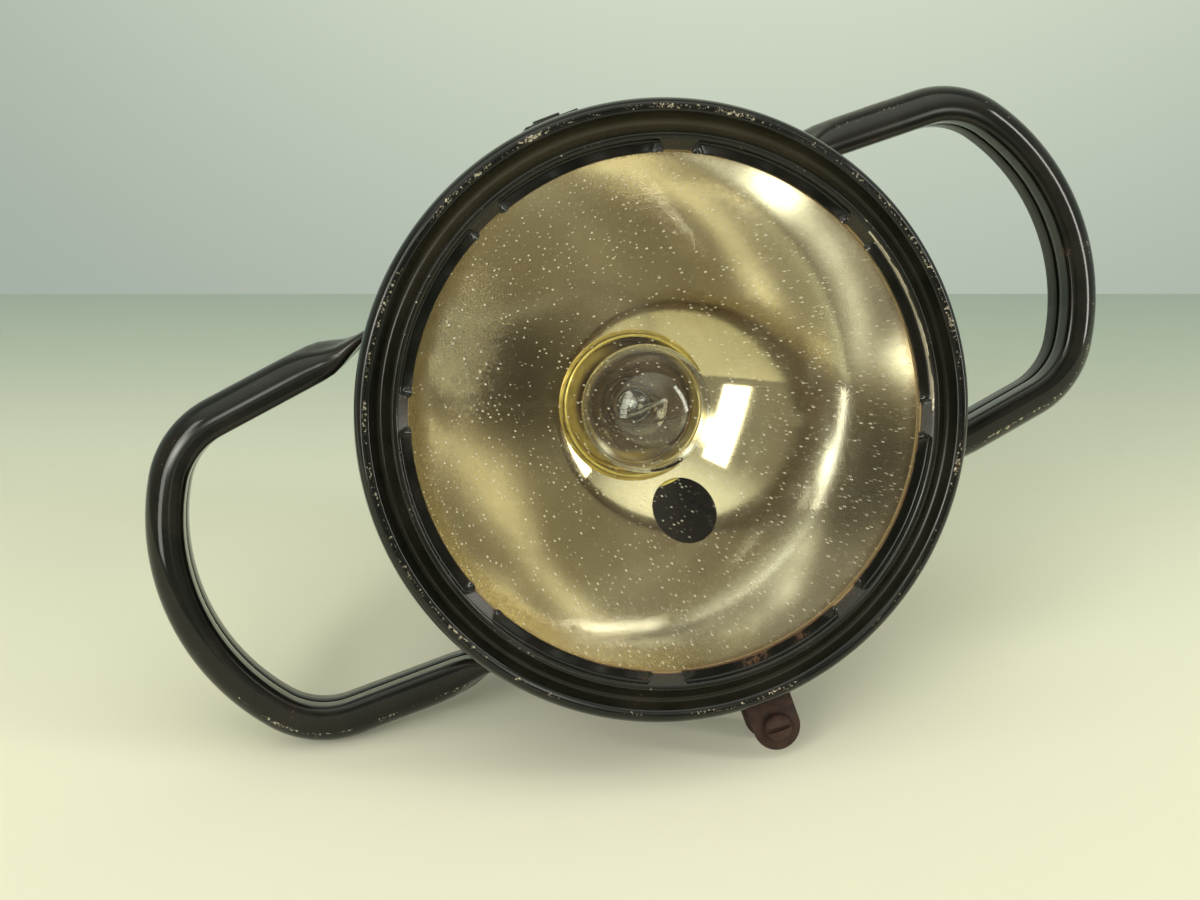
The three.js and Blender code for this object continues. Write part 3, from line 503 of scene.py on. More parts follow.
def finished(source, modifiers=()):
    """The mesh of a scratch object once its modifiers are worked out. The object goes."""
    for kind, settings in modifiers:
        added = source.modifiers.new(kind.lower(), kind)
        for key, value in settings.items():
            setattr(added, key, value)
    shown = source.evaluated_get(bpy.context.evaluated_depsgraph_get())
    mesh = bpy.data.meshes.new_from_object(shown)
    bpy.data.objects.remove(source)
    return mesh


def softened(mesh, width):
    """Rounds the edges that turn by more than 40 degrees."""
    settings = {
        "width": width,
        "segments": 2,
        "limit_method": "ANGLE",
        "angle_limit": math.radians(40),
    }
    return finished(scratch(mesh), [("BEVEL", settings)])


def cut(mesh, *tools):
    """Takes the shapes of the tools out of a mesh."""
    shell, cutters = scratch(mesh), [scratch(tool) for tool in tools]
    bpy.context.view_layer.update()
    settings = {"operation": "DIFFERENCE", "solver": "EXACT"}
    made = finished(shell, [("BOOLEAN", {"object": cutter, **settings}) for cutter in cutters])
    for cutter in cutters:
        bpy.data.objects.remove(cutter)
    return made


def moved(mesh, x, y, z=0.0):
    mesh.transform(Matrix.Translation((x, y, z)))
    return mesh


def turned(mesh, degrees):
    """Turns a mesh about the lamp's axis."""
    mesh.transform(Matrix.Rotation(math.radians(degrees), 4, "Z"))
    return mesh


def bored(mesh, x, y, radius, front, back):
    """Cuts a round hole along the lamp's axis."""
    drill = spun("drill", [(0, front), (radius, front), (radius, back), (0, back)], sides=32)
    return cut(mesh, moved(drill, x, y))


def joined(name, meshes):
    """One mesh of several that share no faces."""
    points, faces = [], []
    for mesh in meshes:
        base = len(points)
        points += [tuple(v.co) for v in mesh.vertices]
        faces += [tuple(base + i for i in f.vertices) for f in mesh.polygons]
    return as_mesh(name, points, faces)


def weld(mesh, distance=0.001):
    """Joins doubled points and turns the faces outwards."""
    edit = bmesh.new()
    edit.from_mesh(mesh)
    bmesh.ops.remove_doubles(edit, verts=edit.verts, dist=distance)
    bmesh.ops.dissolve_degenerate(edit, edges=edit.edges, dist=distance / 10)
    bmesh.ops.recalc_face_normals(edit, faces=edit.faces)
    edit.to_mesh(mesh)
    edit.free()
    return mesh


def grid_faces(columns, rows, wrap_columns, wrap_rows):
    """Quads over a grid of points, column by column."""
    faces = []
    for i in range(columns if wrap_columns else columns - 1):
        for j in range(rows if wrap_rows else rows - 1):
            k, m = (i + 1) % columns, (j + 1) % rows
            faces.append((i * rows + j, k * rows + j, k * rows + m, i * rows + m))
    return faces


def swept(profile, angles):
    """The points of a profile of [radius, z] at each angle about the lamp's axis."""
    across = [np.outer(way(angles), profile[:, 0]).ravel() for way in (np.cos, np.sin)]
    return np.stack([*across, np.tile(profile[:, 1], len(angles))], 1)


def spun(name, profile, sides, marks=None):
    """A profile of [radius, z], closed or from the axis to the axis, spun about the lamp's axis."""
    profile = np.asarray(profile, float)
    closed = not (profile[0, 0] == 0 and profile[-1, 0] == 0)
    points = swept(profile, np.linspace(0, 2 * math.pi, sides, endpoint=False))
    spread = {mark: np.tile(values, sides) for mark, values in (marks or {}).items()}
    return weld(as_mesh(name, points, grid_faces(sides, len(profile), True, closed), spread))


def arc(centre, radius, start, end, steps):
    angles = np.radians(np.linspace(start, end, steps + 1))
    return np.stack([centre[0] + radius * np.cos(angles), centre[1] + radius * np.sin(angles)], 1)


def between(name, outlines):
    """A solid between two outlines of as many points."""
    count = len(outlines[0])
    sides = [(i, i + count, (i + 1) % count + count, (i + 1) % count) for i in range(count)]
    faces = [tuple(range(count)), tuple(reversed(range(count, 2 * count))), *sides]
    return weld(as_mesh(name, [*outlines[0], *outlines[1]], faces))


def plate(name, outline, front, back):
    """A flat plate with an outline in x and y."""
    return between(name, [[(x, y, z) for x, y in outline] for z in (front, back)])


def strip(name, outline, width):
    """A bent strip with an outline in y and z."""
    return between(name, [[(side * width / 2, y, z) for y, z in outline] for side in (-1, 1)])


def rectangle(left, low, right, high):
    return [(left, low), (right, low), (right, high), (left, high)]


def screw_thread(major, minor, front, turns, pitch=0.7):
    """Points of [radius, z] down a threaded shank."""
    crests = [front - k * pitch for k in range(turns)]
    return [point for z in crests for point in ((major, z), (minor, z - pitch / 2))]


def smooth(value):
    """0 at 0 and below, 1 at 1 and above, and smooth between."""
    value = np.clip(value, 0, 1)
    return value * value * (3 - 2 * value)


# Geometry Nodes


def new_tree(name, **sizes):
    """A tree with one geometry in and out and named inputs."""
    tree = bpy.data.node_groups.new(name, "GeometryNodeTree")
    tree.is_modifier = True
    tree.interface.new_socket("Geometry", in_out="INPUT", socket_type="NodeSocketGeometry")
    kinds = {int: "NodeSocketInt", float: "NodeSocketFloat", object: "NodeSocketMaterial"}
    for label, kind in sizes.items():
        tree.interface.new_socket(label, in_out="INPUT", socket_type=kinds[kind])
    tree.interface.new_socket("Geometry", in_out="OUTPUT", socket_type="NodeSocketGeometry")
    net = Net(tree)
    return net, net.node("NodeGroupInput")


def close_tree(net, given, geometry):
    real = net.node("GeometryNodeRealizeInstances", {"Geometry": geometry})
    inputs = {"Geometry": real, "Material": given.out("Finish")}
    net.node("NodeGroupOutput", {0: net.node("GeometryNodeSetMaterial", inputs)})
    return net.tree


def grown(source, tree, **values):
    """Runs a tree on a scratch mesh and gives the plain mesh."""
    holder = scratch(source)
    modifier = holder.modifiers.new("grow", "NODES")
    modifier.node_group = tree
    sockets = {s.name: s.identifier for s in tree.interface.items_tree if s.in_out == "INPUT"}
    for label, value in values.items():
        modifier[sockets[label]] = value
    return finished(holder)


def ring_tree():
    """Copies of the mesh, evenly spaced about the lamp's axis and joined where they touch."""
    net, given = new_tree("ring_of", Count=int, Start=float, Join=float, Finish=object)
    inputs = {"Count": given.out("Count"), "Offset": (0.0, 0.0, 0.0)}
    spots = net.node("GeometryNodeMeshLine", inputs)
    number = net.node("GeometryNodeInputIndex")
    angle = given.out("Start") + number * (2 * math.pi) / given.out("Count")
    turn = net.node("ShaderNodeCombineXYZ", {"Z": angle})
    inputs = {"Points": spots, "Instance": given.out("Geometry"), "Rotation": turn}
    placed = net.node("GeometryNodeInstanceOnPoints", inputs)
    real = net.node("GeometryNodeRealizeInstances", {"Geometry": placed})
    inputs = {"Geometry": real, "Distance": given.out("Join")}
    return close_tree(net, given, net.node("GeometryNodeMergeByDistance", inputs))


def stud_tree():
    """A domed stud and its upset tail on each point of the mesh, along the point's own way."""
    sizes = {"Head": float, "Dome": float, "Shank": float, "Length": float, "Sides": int}
    net, given = new_tree("studs_on", **sizes, Finish=object)
    sides, length = given.out("Sides"), given.out("Length")
    inputs = {"Radius": given.out("Head"), "Segments": sides, "Rings": 12}
    ball = net.node("GeometryNodeMeshUVSphere", inputs)
    flat = net.node("ShaderNodeCombineXYZ", {"X": 1.0, "Y": 1.0, "Z": given.out("Dome")})
    head = net.node("GeometryNodeTransform", {"Geometry": ball, "Scale": flat})
    inputs = {"Vertices": sides, "Radius": given.out("Shank"), "Depth": length}
    rod = net.node("GeometryNodeMeshCylinder", inputs)
    stud = net.node("GeometryNodeJoinGeometry")
    net.tree.links.new(head.socket, stud.socket.node.inputs[0])
    for part, share in ((rod, -0.5), (head, -1)):
        down = net.node("ShaderNodeCombineXYZ", {"Z": length * share})
        lowered = net.node("GeometryNodeTransform", {"Geometry": part, "Translation": down})
        net.tree.links.new(lowered.socket, stud.socket.node.inputs[0])
    way = net.node("GeometryNodeInputNamedAttribute", {"Name": "way"}, data_type="FLOAT_VECTOR")
    turn = net.node("FunctionNodeAlignRotationToVector", {"Vector": way}, axis="Z")
    inputs = {"Points": given.out("Geometry"), "Instance": stud, "Rotation": turn}
    return close_tree(net, given, net.node("GeometryNodeInstanceOnPoints", inputs))


def wire_tree():
    """A round wire along the mesh's edges."""
    net, given = new_tree("wire_along", Wire=float, Sides=int, Finish=object)
    path = net.node("GeometryNodeMeshToCurve", {"Mesh": given.out("Geometry")})
    inputs = {"Resolution": given.out("Sides"), "Radius": given.out("Wire")}
    circle = net.node("GeometryNodeCurvePrimitiveCircle", inputs)
    inputs = {"Curve": path, "Profile Curve": circle, "Fill Caps": True}
    return close_tree(net, given, net.node("GeometryNodeCurveToMesh", inputs))


# Rim, one sheet pressed into a bead, a cove, a lip and a flange

DARTS = 8
FLANGE = 82.6
DART_RADIUS = 84.5
DART_HEAD = (86.55, -0.62)
DART_FOOT = (83.4, -2.66)
COVE_RADIUS = 95.7
COVE_DEPTH = 4.2
LIP_RADIUS = 88.4


def rim_profile():
    """Rows of [radius, z, wear and painted highlight, rust, dust, down]. Down goes from 0 to 1
    along a dart.
    """
    rows = []

    def add(points, wear_and_highlight=0.0, rust=0.0, dust=0.0, down=-1.0):
        for r, z in points:
            rows.append((r, z, wear_and_highlight, rust, dust, down))

    # Skirt and bead
    add([(98.3, -19.3)], 0.3, 0.6)
    add([(98.45, -19.5), (99.15, -19.5)], 0.45, 0.6)
    add([(99.3, -19.3)], 0.5, 0.6)
    add([(99.38, -16.5), (99.55, -13.0), (99.75, -9.5)], 0.12, 0.4)
    for k, (across, up) in enumerate(arc((0, 0), 1.0, 0, 90, 12)):
        wear_and_highlight_level = 0.12 + 0.5 * smooth((k / 12 - 0.55) / 0.4)
        add([(97.0 + 3.0 * across, -6.0 + 5.0 * up)], wear_and_highlight_level, 0.45)
    add([(96.4, -1.05)], 0.66, 0.4)
    add([(95.95, -1.3)], 0.6, 0.4)
    # Cove and lip
    for k in range(13):
        share = k / 13
        hollow = math.sin(math.pi * share)
        rise = (1.3 - 0.5 * share) * (1 - share) + COVE_DEPTH * hollow**1.2
        add([(COVE_RADIUS + (LIP_RADIUS - COVE_RADIUS) * share, -rise)], 0.04, 0.3, 0.55 * hollow)
    add([(88.55, -0.45), (88.3, -0.12)], 0.45, 0.3, 0.1)
    add([(88.05, 0.0), (87.75, -0.02)], 0.58, 0.2, 0.1)
    add([(87.35, -0.12), (86.9, -0.3), (86.6, -0.55)], 0.3, 0.2, 0.1)
    # Wall behind the lip, and flange
    wall = [(86.44, -0.95), (86.38, -1.35), (86.34, -1.75), (86.3, -2.1), (86.1, -2.42)]
    for k, point in enumerate(wall):
        add([point], 0.08, 0.3, 0.04, 0.1 * (k + 1))
    for k in range(7):
        share = (k + 0.5) / 7
        add([(85.9 + (FLANGE + 0.3 - 85.9) * share, -2.6)], 0.06, 0.45, 0.03, 0.5 + 0.48 * share)
    add([(FLANGE + 0.1, -2.62), (FLANGE, -2.8)], 0.35, 0.9, 0.3, 1.0)
    add([(FLANGE, -3.3), (FLANGE + 0.15, -3.55)], 0.2, 1.0, 0.2, 2.0)
    # Back of the sheet
    add([(84.5, -3.6), (87.6, -3.6)], 0.0, 0.5, 0.2)
    add([(89.2, -4.6), (91.8, -6.2), (94.6, -4.4)], 0.0, 0.4)
    add([(95.8, -3.4), (97.2, -4.2), (98.2, -6.6)], 0.0, 0.4)
    add([(98.3, -12.0)], 0.0, 0.5)
    return np.array(rows)


def sector_angles():
    """Columns of one sector, in degrees from the middle of its dart, closer near its corners."""
    marks = [0, 1.2, 2.2, 2.9, 3.3, 3.6, 3.85, 4.1, 4.35, 4.6, 4.9, 5.3, 5.9, 6.8, 8.2]
    half = [*marks, 10, 12, 14, 16.1, 18.2, 20.3, 180 / DARTS]
    return np.array([-m for m in reversed(half)] + half[1:])


def darted(points, down):
    """Presses a ramp from the lip to the flange's edge, between two small raised ears."""
    radius = np.hypot(points[:, 0], points[:, 1])
    angle = np.arctan2(points[:, 1], points[:, 0])
    away = np.abs(angle) * DART_RADIUS
    share = np.clip(down, 0, 1)
    in_reach = down >= 0
    half_width, corner = 6.1 - 1.7 * share, 0.9
    dart = (1 - smooth((away - half_width) / corner)) * in_reach

    def bump(middle, width):
        return np.exp(-(((away - middle) / width) ** 2)) * in_reach

    ear, swell = bump(6.3, 0.8), bump(7.6, 2.2)
    edge = share**3
    ramp = [head + (foot - head) * share for head, foot in zip(DART_HEAD, DART_FOOT)]
    on_ramp = dart * (down <= 1)
    radius = radius + on_ramp * (ramp[0] - radius) + dart * (down > 1) * 0.8
    rise = points[:, 2] + on_ramp * (ramp[1] - points[:, 2])
    radius = radius - edge * ear * (1 - dart) * 0.35
    rise = rise + edge * (1 - dart) * (1.15 * ear + 0.3 * swell)
    return np.stack([radius * np.cos(angle), radius * np.sin(angle), rise], 1), dart, ear * edge


def pressed_rim(ring):
    profile, angles = rim_profile(), np.radians(sector_angles())
    wear_and_highlight, rust, dust, down = np.tile(profile[:, 2:], (len(angles), 1)).T
    places, dart, ear = darted(swept(profile, angles), down)
    # The raised ears get extra pale marks, partly rubbing wear and partly a painted highlight.
    marks = {"wear_and_highlight": wear_and_highlight + ear * 0.4, "rust": rust, "dust": dust + dart * 0.4}
    faces = grid_faces(len(angles), len(profile), False, True)
    sector = as_mesh("rim_sector", places, faces, marks)
    start, touching = math.pi / DARTS, 0.004
    enamel = FINISHES["enamel"]
    mesh = grown(sector, ring, Count=DARTS, Start=start, Join=touching, Finish=enamel)
    mesh = weld(mesh, touching)
    age_rim(mesh)
    piece("pressed_rim", mesh, "enamel", "rim", ["front_rim"], RIM_TURN, 50.0)


def age_rim(mesh):
    """Small unevenness of a pressed sheet. Dust, rust and wear change with the place, and the wall
    behind the lip gets a painted highlight that is strongest on the right.
    """
    count = len(mesh.vertices)
    flat = np.zeros(count * 3, np.float32)
    mesh.vertices.foreach_get("co", flat)
    place = flat.reshape(-1, 3)
    angle = np.arctan2(place[:, 1], place[:, 0])
    radius = np.hypot(place[:, 0], place[:, 1])
    wave = np.sin(3 * angle + 0.7) + 0.6 * np.sin(7 * angle + 2.1) + 0.4 * np.sin(19 * angle)
    inner = np.clip((88 - radius) / 5, 0, 1)
    place[:, 2] += 0.05 * wave + inner * 0.12 * np.sin(31 * angle + 1.0)
    mesh.vertices.foreach_set("co", place.ravel())
    z = place[:, 2]
    top = smooth((np.sin(angle + math.radians(8)) - 0.35) / 0.6)
    foot = smooth((-np.sin(angle + math.radians(-12)) - 0.2) / 0.7)
    right = smooth((np.cos(angle) - math.cos(math.radians(26))) / 0.06)
    cove = (radius > 88.6) & (radius < 95.6) & (z > -6)
    # The wall behind the lip: its pale marks are a painted highlight, strongest on the right side.
    wall = (radius > 86.0) & (radius < 86.62) & (z > -2.3) & (z < -0.5)
    layers = mesh.attributes
    values = np.zeros(count, np.float32)
    for name, change in (
        ("dust", lambda v: np.where(cove, v * (0.25 + 1.3 * top + 0.35 * foot), v)),
        ("rust", lambda v: v * (0.35 + 0.75 * foot + 0.25 * top)),
        ("wear_and_highlight", lambda v: np.maximum(v * (0.97 - 0.1 * foot), wall * (0.25 + 0.7 * right))),
    ):
        layers[name].data.foreach_get("value", values)
        layers[name].data.foreach_set("value", change(values).astype(np.float32))


# Handles, rolled from sheet with an open seam on the inner side

FOOT_THICKNESS, FOOT_WIDTH = 3.2, 24.0
GRIP_THICKNESS, GRIP_WIDTH = 13.5, 20.0
SHEET = 1.1
SEAM = 2.0
ROUNDNESS = 0.86
FOOT_SLOPE = housing_slope(HANDLE_DEPTH)
FOOT_RADIUS = housing_radius(HANDLE_DEPTH) + (GAP + FOOT_THICKNESS / 2) / math.cos(FOOT_SLOPE)
FOOT_SPAN = 13
FOLD_RADIUS = 8.0
ARM_TILT = 4.6
BEND_RADIUS, BOW_RADIUS = 30.0, 78.0
BEND_RISE = 27.1
BOW_CENTRE = (171.5 - BOW_RADIUS, 0.0)
BEND_ASIDE = math.sqrt((BOW_RADIUS - BEND_RADIUS) ** 2 - BEND_RISE**2)
BEND_CENTRE = (BOW_CENTRE[0] + BEND_ASIDE, BEND_RISE)


def fold_centre():
    """Where a fold touches both the foot's curve and the straight arm."""
    tilt = math.radians(ARM_TILT)
    up = np.array([math.sin(tilt), math.cos(tilt)])
    along = np.array([-up[1], up[0]])
    start = np.array(BEND_CENTRE) + up * (BEND_RADIUS + FOLD_RADIUS)
    half = start @ along
    root = math.sqrt(half**2 - start @ start + (FOOT_RADIUS + FOLD_RADIUS) ** 2)
    reaches = [r for r in (-half - root, -half + root) if r > 0]
    return start + along * reaches[0]


FOLD_CENTRE = fold_centre()
FOOT_TURN = math.degrees(math.atan2(FOLD_CENTRE[1], FOLD_CENTRE[0]))


def bent(centre, radius, start, end, steps, facing):
    """Points along a bend with the direction that faces out of it."""
    angles = np.radians(np.linspace(start, end, steps + 1))
    out = np.stack([np.cos(angles), np.sin(angles)], 1)
    return np.asarray(centre) + out * radius, out * facing


def lengths_along(points):
    return np.concatenate([[0], np.cumsum(np.hypot(*np.diff(points, axis=0).T))])


def handle_path():
    """Points, outward directions and lengths along the right handle, and its foot's length."""
    bow = math.degrees(math.asin(BEND_RISE / (BOW_RADIUS - BEND_RADIUS)))
    arm = 90 - ARM_TILT
    foot = bent((0, 0), FOOT_RADIUS, FOOT_TURN + FOOT_SPAN, FOOT_TURN, 8, 1)
    fold = bent(FOLD_CENTRE, FOLD_RADIUS, FOOT_TURN - 180, arm - 180, 8, -1)
    bend = bent(BEND_CENTRE, BEND_RADIUS, arm, bow, 14, 1)
    start, end = fold[0][-1], bend[0][0]
    shares = np.linspace(0, 1, 15)[:, None]
    straight = (start + (end - start) * shares, np.repeat(fold[1][-1:], 15, 0))
    legs = [fold, straight, bend, bent(BOW_CENTRE, BOW_RADIUS, bow, 0, 12, 1)]
    upper = [np.concatenate([foot[i]] + [leg[i][1:] for leg in legs]) for i in (0, 1)]
    points, normals = (np.concatenate([half, half[-2::-1] * (1, -1)]) for half in upper)
    foot_end = lengths_along(foot[0])[-1] + FOLD_RADIUS * math.radians(abs(FOOT_TURN - arm))
    return points, normals, lengths_along(points), foot_end


def grip_section(thickness, width, inset, front_open, back_open):
    """Half-round section with a flat inner side and an open seam: [out, forward, wear and painted
    highlight].
    """
    half = width / 2 - inset
    bottom = -thickness / 2 + inset
    corner = min(2.2, thickness * 0.3)
    crown = bottom + corner
    rows = [(bottom + 0.25, SEAM / 2, 0.0)]
    rows += [(bottom, SEAM / 2 + (half - corner - SEAM / 2) * s, 0.0) for s in (0.15, 0.45, 0.8)]
    rows += [(x, y, 0.25) for x, y in arc((crown, half - corner), corner, 180, 90, 5)]
    for k in range(1, 20):
        angle = math.pi * k / 20
        across = math.copysign(abs(math.cos(angle)) ** ROUNDNESS, math.cos(angle))
        share = smooth(0.5 + 0.5 * across)
        opened = front_open * share + back_open * (1 - share)
        top = FOOT_THICKNESS / 2 + (thickness / 2 - FOOT_THICKNESS / 2) * opened - inset
        out = crown + (top - crown) * math.sin(angle) ** ROUNDNESS
        # A band of pale marks along the front shoulder, partly wear and partly a painted highlight
        # streak.
        rows.append((out, half * across, math.exp(-(((math.degrees(angle) - 40) / 9) ** 2))))
    return np.array(rows + [(x, -y, wear_and_highlight_level) for x, y, wear_and_highlight_level in reversed(rows[:9])])


def handle_mesh(side):
    """The flat feet open into the grip over some 20 mm. Side is 1 for right and -1 for left."""
    points, normals, lengths, foot_end = handle_path()
    places, wear_and_highlight, dust = [], [], []
    for point, normal, run in zip(points, normals, lengths):
        from_foot = min(run, lengths[-1] - run) - foot_end
        opened = float(smooth(from_foot / 20))
        front = float(smooth((from_foot - 4) / 18))
        back = float(smooth((from_foot + 3) / 16))
        thickness = FOOT_THICKNESS + (GRIP_THICKNESS - FOOT_THICKNESS) * opened
        width = FOOT_WIDTH + (GRIP_WIDTH - FOOT_WIDTH) * opened
        tilt = FOOT_SLOPE * (1 - opened)
        dent = 2.0 * math.exp(-(((from_foot - 17) / 7) ** 2))
        outer = grip_section(thickness, width, 0.0, front, back)
        inner = grip_section(thickness, width, min(SHEET, thickness * 0.34), front, back)[::-1]
        around = len(outer) + len(inner)
        for out, forward, wear_and_highlight_level in (outer.T, inner.T):
            out = out - dent * np.exp(-(((forward - 4.5) / 4.0) ** 2)) * (out > 0)
            away = out * math.cos(tilt) + forward * math.sin(tilt)
            ahead = forward * math.cos(tilt) - out * math.sin(tilt)
            x, y = point[0] + normal[0] * away, point[1] + normal[1] * away
            places.append(np.stack([x * side, y, -HANDLE_DEPTH + ahead], 1))
            wear_and_highlight.append(wear_and_highlight_level * (0.45 + 0.2 * opened))
        dust.append(np.full(around, 0.05 + 0.2 * (1 - opened)))
    places, wear_and_highlight = np.concatenate(places), np.concatenate(wear_and_highlight)
    faces = grid_faces(len(points), around, False, True)
    last = (len(points) - 1) * around
    for j in range(around // 2 - 1):
        a, b, c, d = j, j + 1, around - 2 - j, around - 1 - j
        faces += [(a, b, c, d), (last + d, last + c, last + b, last + a)]
    low = smooth((-places[:, 1] - 20) / 40)
    marks = {
        "wear_and_highlight": wear_and_highlight + 0.12 * low * (wear_and_highlight > 0.1),
        "rust": np.full(len(places), 0.35),
        "dust": np.concatenate(dust),
    }
    return weld(as_mesh("handle", places, faces, marks))


def handles():
    for side, word in ((1, "right"), (-1, "left")):
        mesh = handle_mesh(side)
        nodes = [f"{word}_handle"]
        piece(f"{word}_rolled_handle", mesh, "enamel", "housing", nodes, 0.0, 40.0)


def rivets(studs):
    """Two studs in each foot of both handles."""
    spots, ways, nodes = [], [], []
    for side, word in ((1, "right"), (-1, "left")):
        flip = np.array([side, 1, 1])
        for share in (0.22, 0.78):
            for up in (1, -1):
                angle = up * math.radians(FOOT_TURN + FOOT_SPAN * share)
                level = np.array([math.cos(angle), math.sin(angle), 0])
                out = level * math.cos(FOOT_SLOPE) - np.array([0, 0, math.sin(FOOT_SLOPE)])
                base = level * FOOT_RADIUS - np.array([0, 0, HANDLE_DEPTH])
                spots.append((base + out * (FOOT_THICKNESS / 2 + 0.1)) * flip)
                ways.append(out * flip)
        nodes += [f"{word}_handle_rivet_{i}" for i in range(1, 5)]
    mesh = as_mesh("studs", spots, [])
    layer = mesh.attributes.new("way", "FLOAT_VECTOR", "POINT")
    layer.data.foreach_set("vector", np.asarray(ways, np.float32).ravel())
    sizes = {"Head": 3.4, "Dome": 0.55, "Shank": 1.9, "Length": 5.3, "Sides": 24}
    made = grown(mesh, studs, **sizes, Finish=FINISHES["clip"])
    piece("foot_rivets", made, "clip", "housing", nodes)


# Glass, seal, reflector and its collar


def dish_at(radius):
    return DISH_BOTTOM + radius**2 / (4 * DISH_FOCUS)


def front_optics(ring):
    pane = [
        (0, GLASS_FRONT), (GLASS_RADIUS - 0.5, GLASS_FRONT), (GLASS_RADIUS, GLASS_FRONT - 0.5),
        (GLASS_RADIUS, GLASS_BACK + 0.5), (GLASS_RADIUS - 0.5, GLASS_BACK), (0, GLASS_BACK),
    ]
    piece("glass_pane", spun("pane", pane, 128), "pane", "rim", ["front_glass"], RIM_TURN, 30.0)
    bed = GLASS_RADIUS + GAP
    seal = [
        (83.4, SEAL_FRONT), (86.6, SEAL_FRONT), (86.9, SEAL_FRONT - 0.4),
        (86.9, SEAL_BACK + 0.4), (86.6, SEAL_BACK), (83.4, SEAL_BACK),
        (83.2, SEAL_BACK + 0.3), (83.4, SEAL_BACK + 0.6), (bed, SEAL_BACK + 0.6),
        (bed, SEAL_FRONT - 0.6), (83.4, SEAL_FRONT - 0.6), (83.2, SEAL_FRONT - 0.3),
    ]
    piece("packing_ring", spun("seal", seal, 128), "packing", "rim", ["glass_seal"], RIM_TURN)
    clip = [
        (98.0, -10.8), (88.2, -9.9), (86.6, -10.0), (85.0, -10.9),
        (85.0, -11.7), (86.6, -10.8), (88.2, -10.7), (98.0, -11.6),
    ]
    outlines = [[(x, side, z) for x, z in clip] for side in (-5.6, 5.6)]
    clip = softened(between("clip", outlines), 0.2)
    start = math.radians(135)
    clips = grown(clip, ring, Count=4, Start=start, Join=0.0001, Finish=FINISHES["clip"])
    names = [f"retaining_clip_{i}" for i in range(1, 5)]
    piece("spring_clips", clips, "clip", "rim", names, RIM_TURN)


def dish():
    sheet, hole = 0.8, COLLAR_BORE + COLLAR_WALL + GAP
    side_hole, side_hole_drop = 11, 40.6
    face = [(r, dish_at(r)) for r in np.linspace(hole, DISH_RADIUS, 56)]
    brim = [(85.6, DISH_FRONT - 0.02), (90.1, DISH_FRONT), (90.5, DISH_FRONT - 0.3)]
    back = [(90.1, DISH_FRONT - sheet)] + [(r, z - sheet) for r, z in reversed(face[::3])]
    shell = spun("dish", face + brim + back, 224)
    rod = spun("rod", [(0, 0), (side_hole, 0), (side_hole, -90), (0, -90)], 64)
    made = cut(shell, moved(rod, 0, -side_hole_drop))
    piece("polished_dish", made, "dish", "rim", ["reflector"], 0.0, 30.0)


def collar():
    """The sleeve, with a rolled front edge and a notch in its side."""
    wall = COLLAR_BORE + COLLAR_WALL
    outer = [(wall, -67.5), (wall, dish_at(wall) - 1.6)]
    seat = [(r, dish_at(r) - down) for r, down in ((27.4, 1.1), (31.0, 1.1), (31.0, 2.2))]
    under = [(wall + 0.6, dish_at(wall) - 2.6), (wall, dish_at(wall) - 3.2)]
    tail = [(wall, -88.0), (COLLAR_BORE, -88.0), (COLLAR_BORE, -67.5)]
    lead = [(COLLAR_BORE + 0.12, -67.15), (COLLAR_BORE + 0.55, -67.0), (wall - 0.12, -67.15)]
    shell = spun("collar", outer + seat + under + tail + lead, 128)
    notch = plate("notch", rectangle(-28, -2, -23, 2), -68.4, -77.6)
    piece("brass_collar", cut(shell, turned(notch, -7)), "brass", "rim", ["reflector_collar"])


# Lamp holder and bulb

BAYONET_TURN = 20
BULB_CENTRE = (0, -48)
BULB_RADIUS, NECK_RADIUS = 22.5, 6.6
BULB_WALL = 0.8


def holder():
    """A flanged cup that carries the bayonet tube with its two slots and its insulator."""
    inner, hub = COLLAR_BORE - GAP - 1, 10.3
    carrier = [
        (9.1, -80.2), (9.3, -80.0), (hub, -80.0), (hub, -83.2), (hub + 0.8, -84.0),
        (inner - 0.8, -84.0), (inner, -83.2), (inner, -78.2), (inner + 0.5, -78.0),
        (inner + 1, -78.2), (inner + 1, -88.2), (27.2, -88.3), (27.5, -88.6), (27.5, -89.0),
        (27.2, -89.3), (inner, -89.3), (inner, -85.6), (inner - 0.8, -85.0), (hub, -85.0),
        (hub, -88.0), (9.1, -88.0),
    ]
    made = spun("carrier", carrier, 96)
    piece("holder_carrier", made, "burnt", "lamp_holder", ["socket_carrier"])
    tube = [
        (7.9, -76.2), (8.1, -76.0), (8.6, -76.0), (8.8, -76.2), (8.8, -98.8), (8.6, -99.0),
        (7.9, -99.0),
    ]
    slots = []
    for side in (0, 180):
        for turn in range(BAYONET_TURN, -1, -5):
            front = -70 if turn == BAYONET_TURN else -82.7
            slot = plate("slot", rectangle(6, -1.3, 11, 1.3), front, -85.3)
            slots.append(turned(slot, side + turn))
    made = cut(spun("tube", tube, 72), *slots)
    piece("bayonet_tube", made, "sooty", "lamp_holder", ["lamp_socket"])
    disc = [(0, -95.5), (7.3, -95.5), (7.6, -95.8), (7.6, -98.2), (7.3, -98.5), (0, -98.5)]
    made = spun("disc", disc, 48)
    piece("insulating_disc", made, "phenolic", "lamp_holder", ["socket_insulator"])


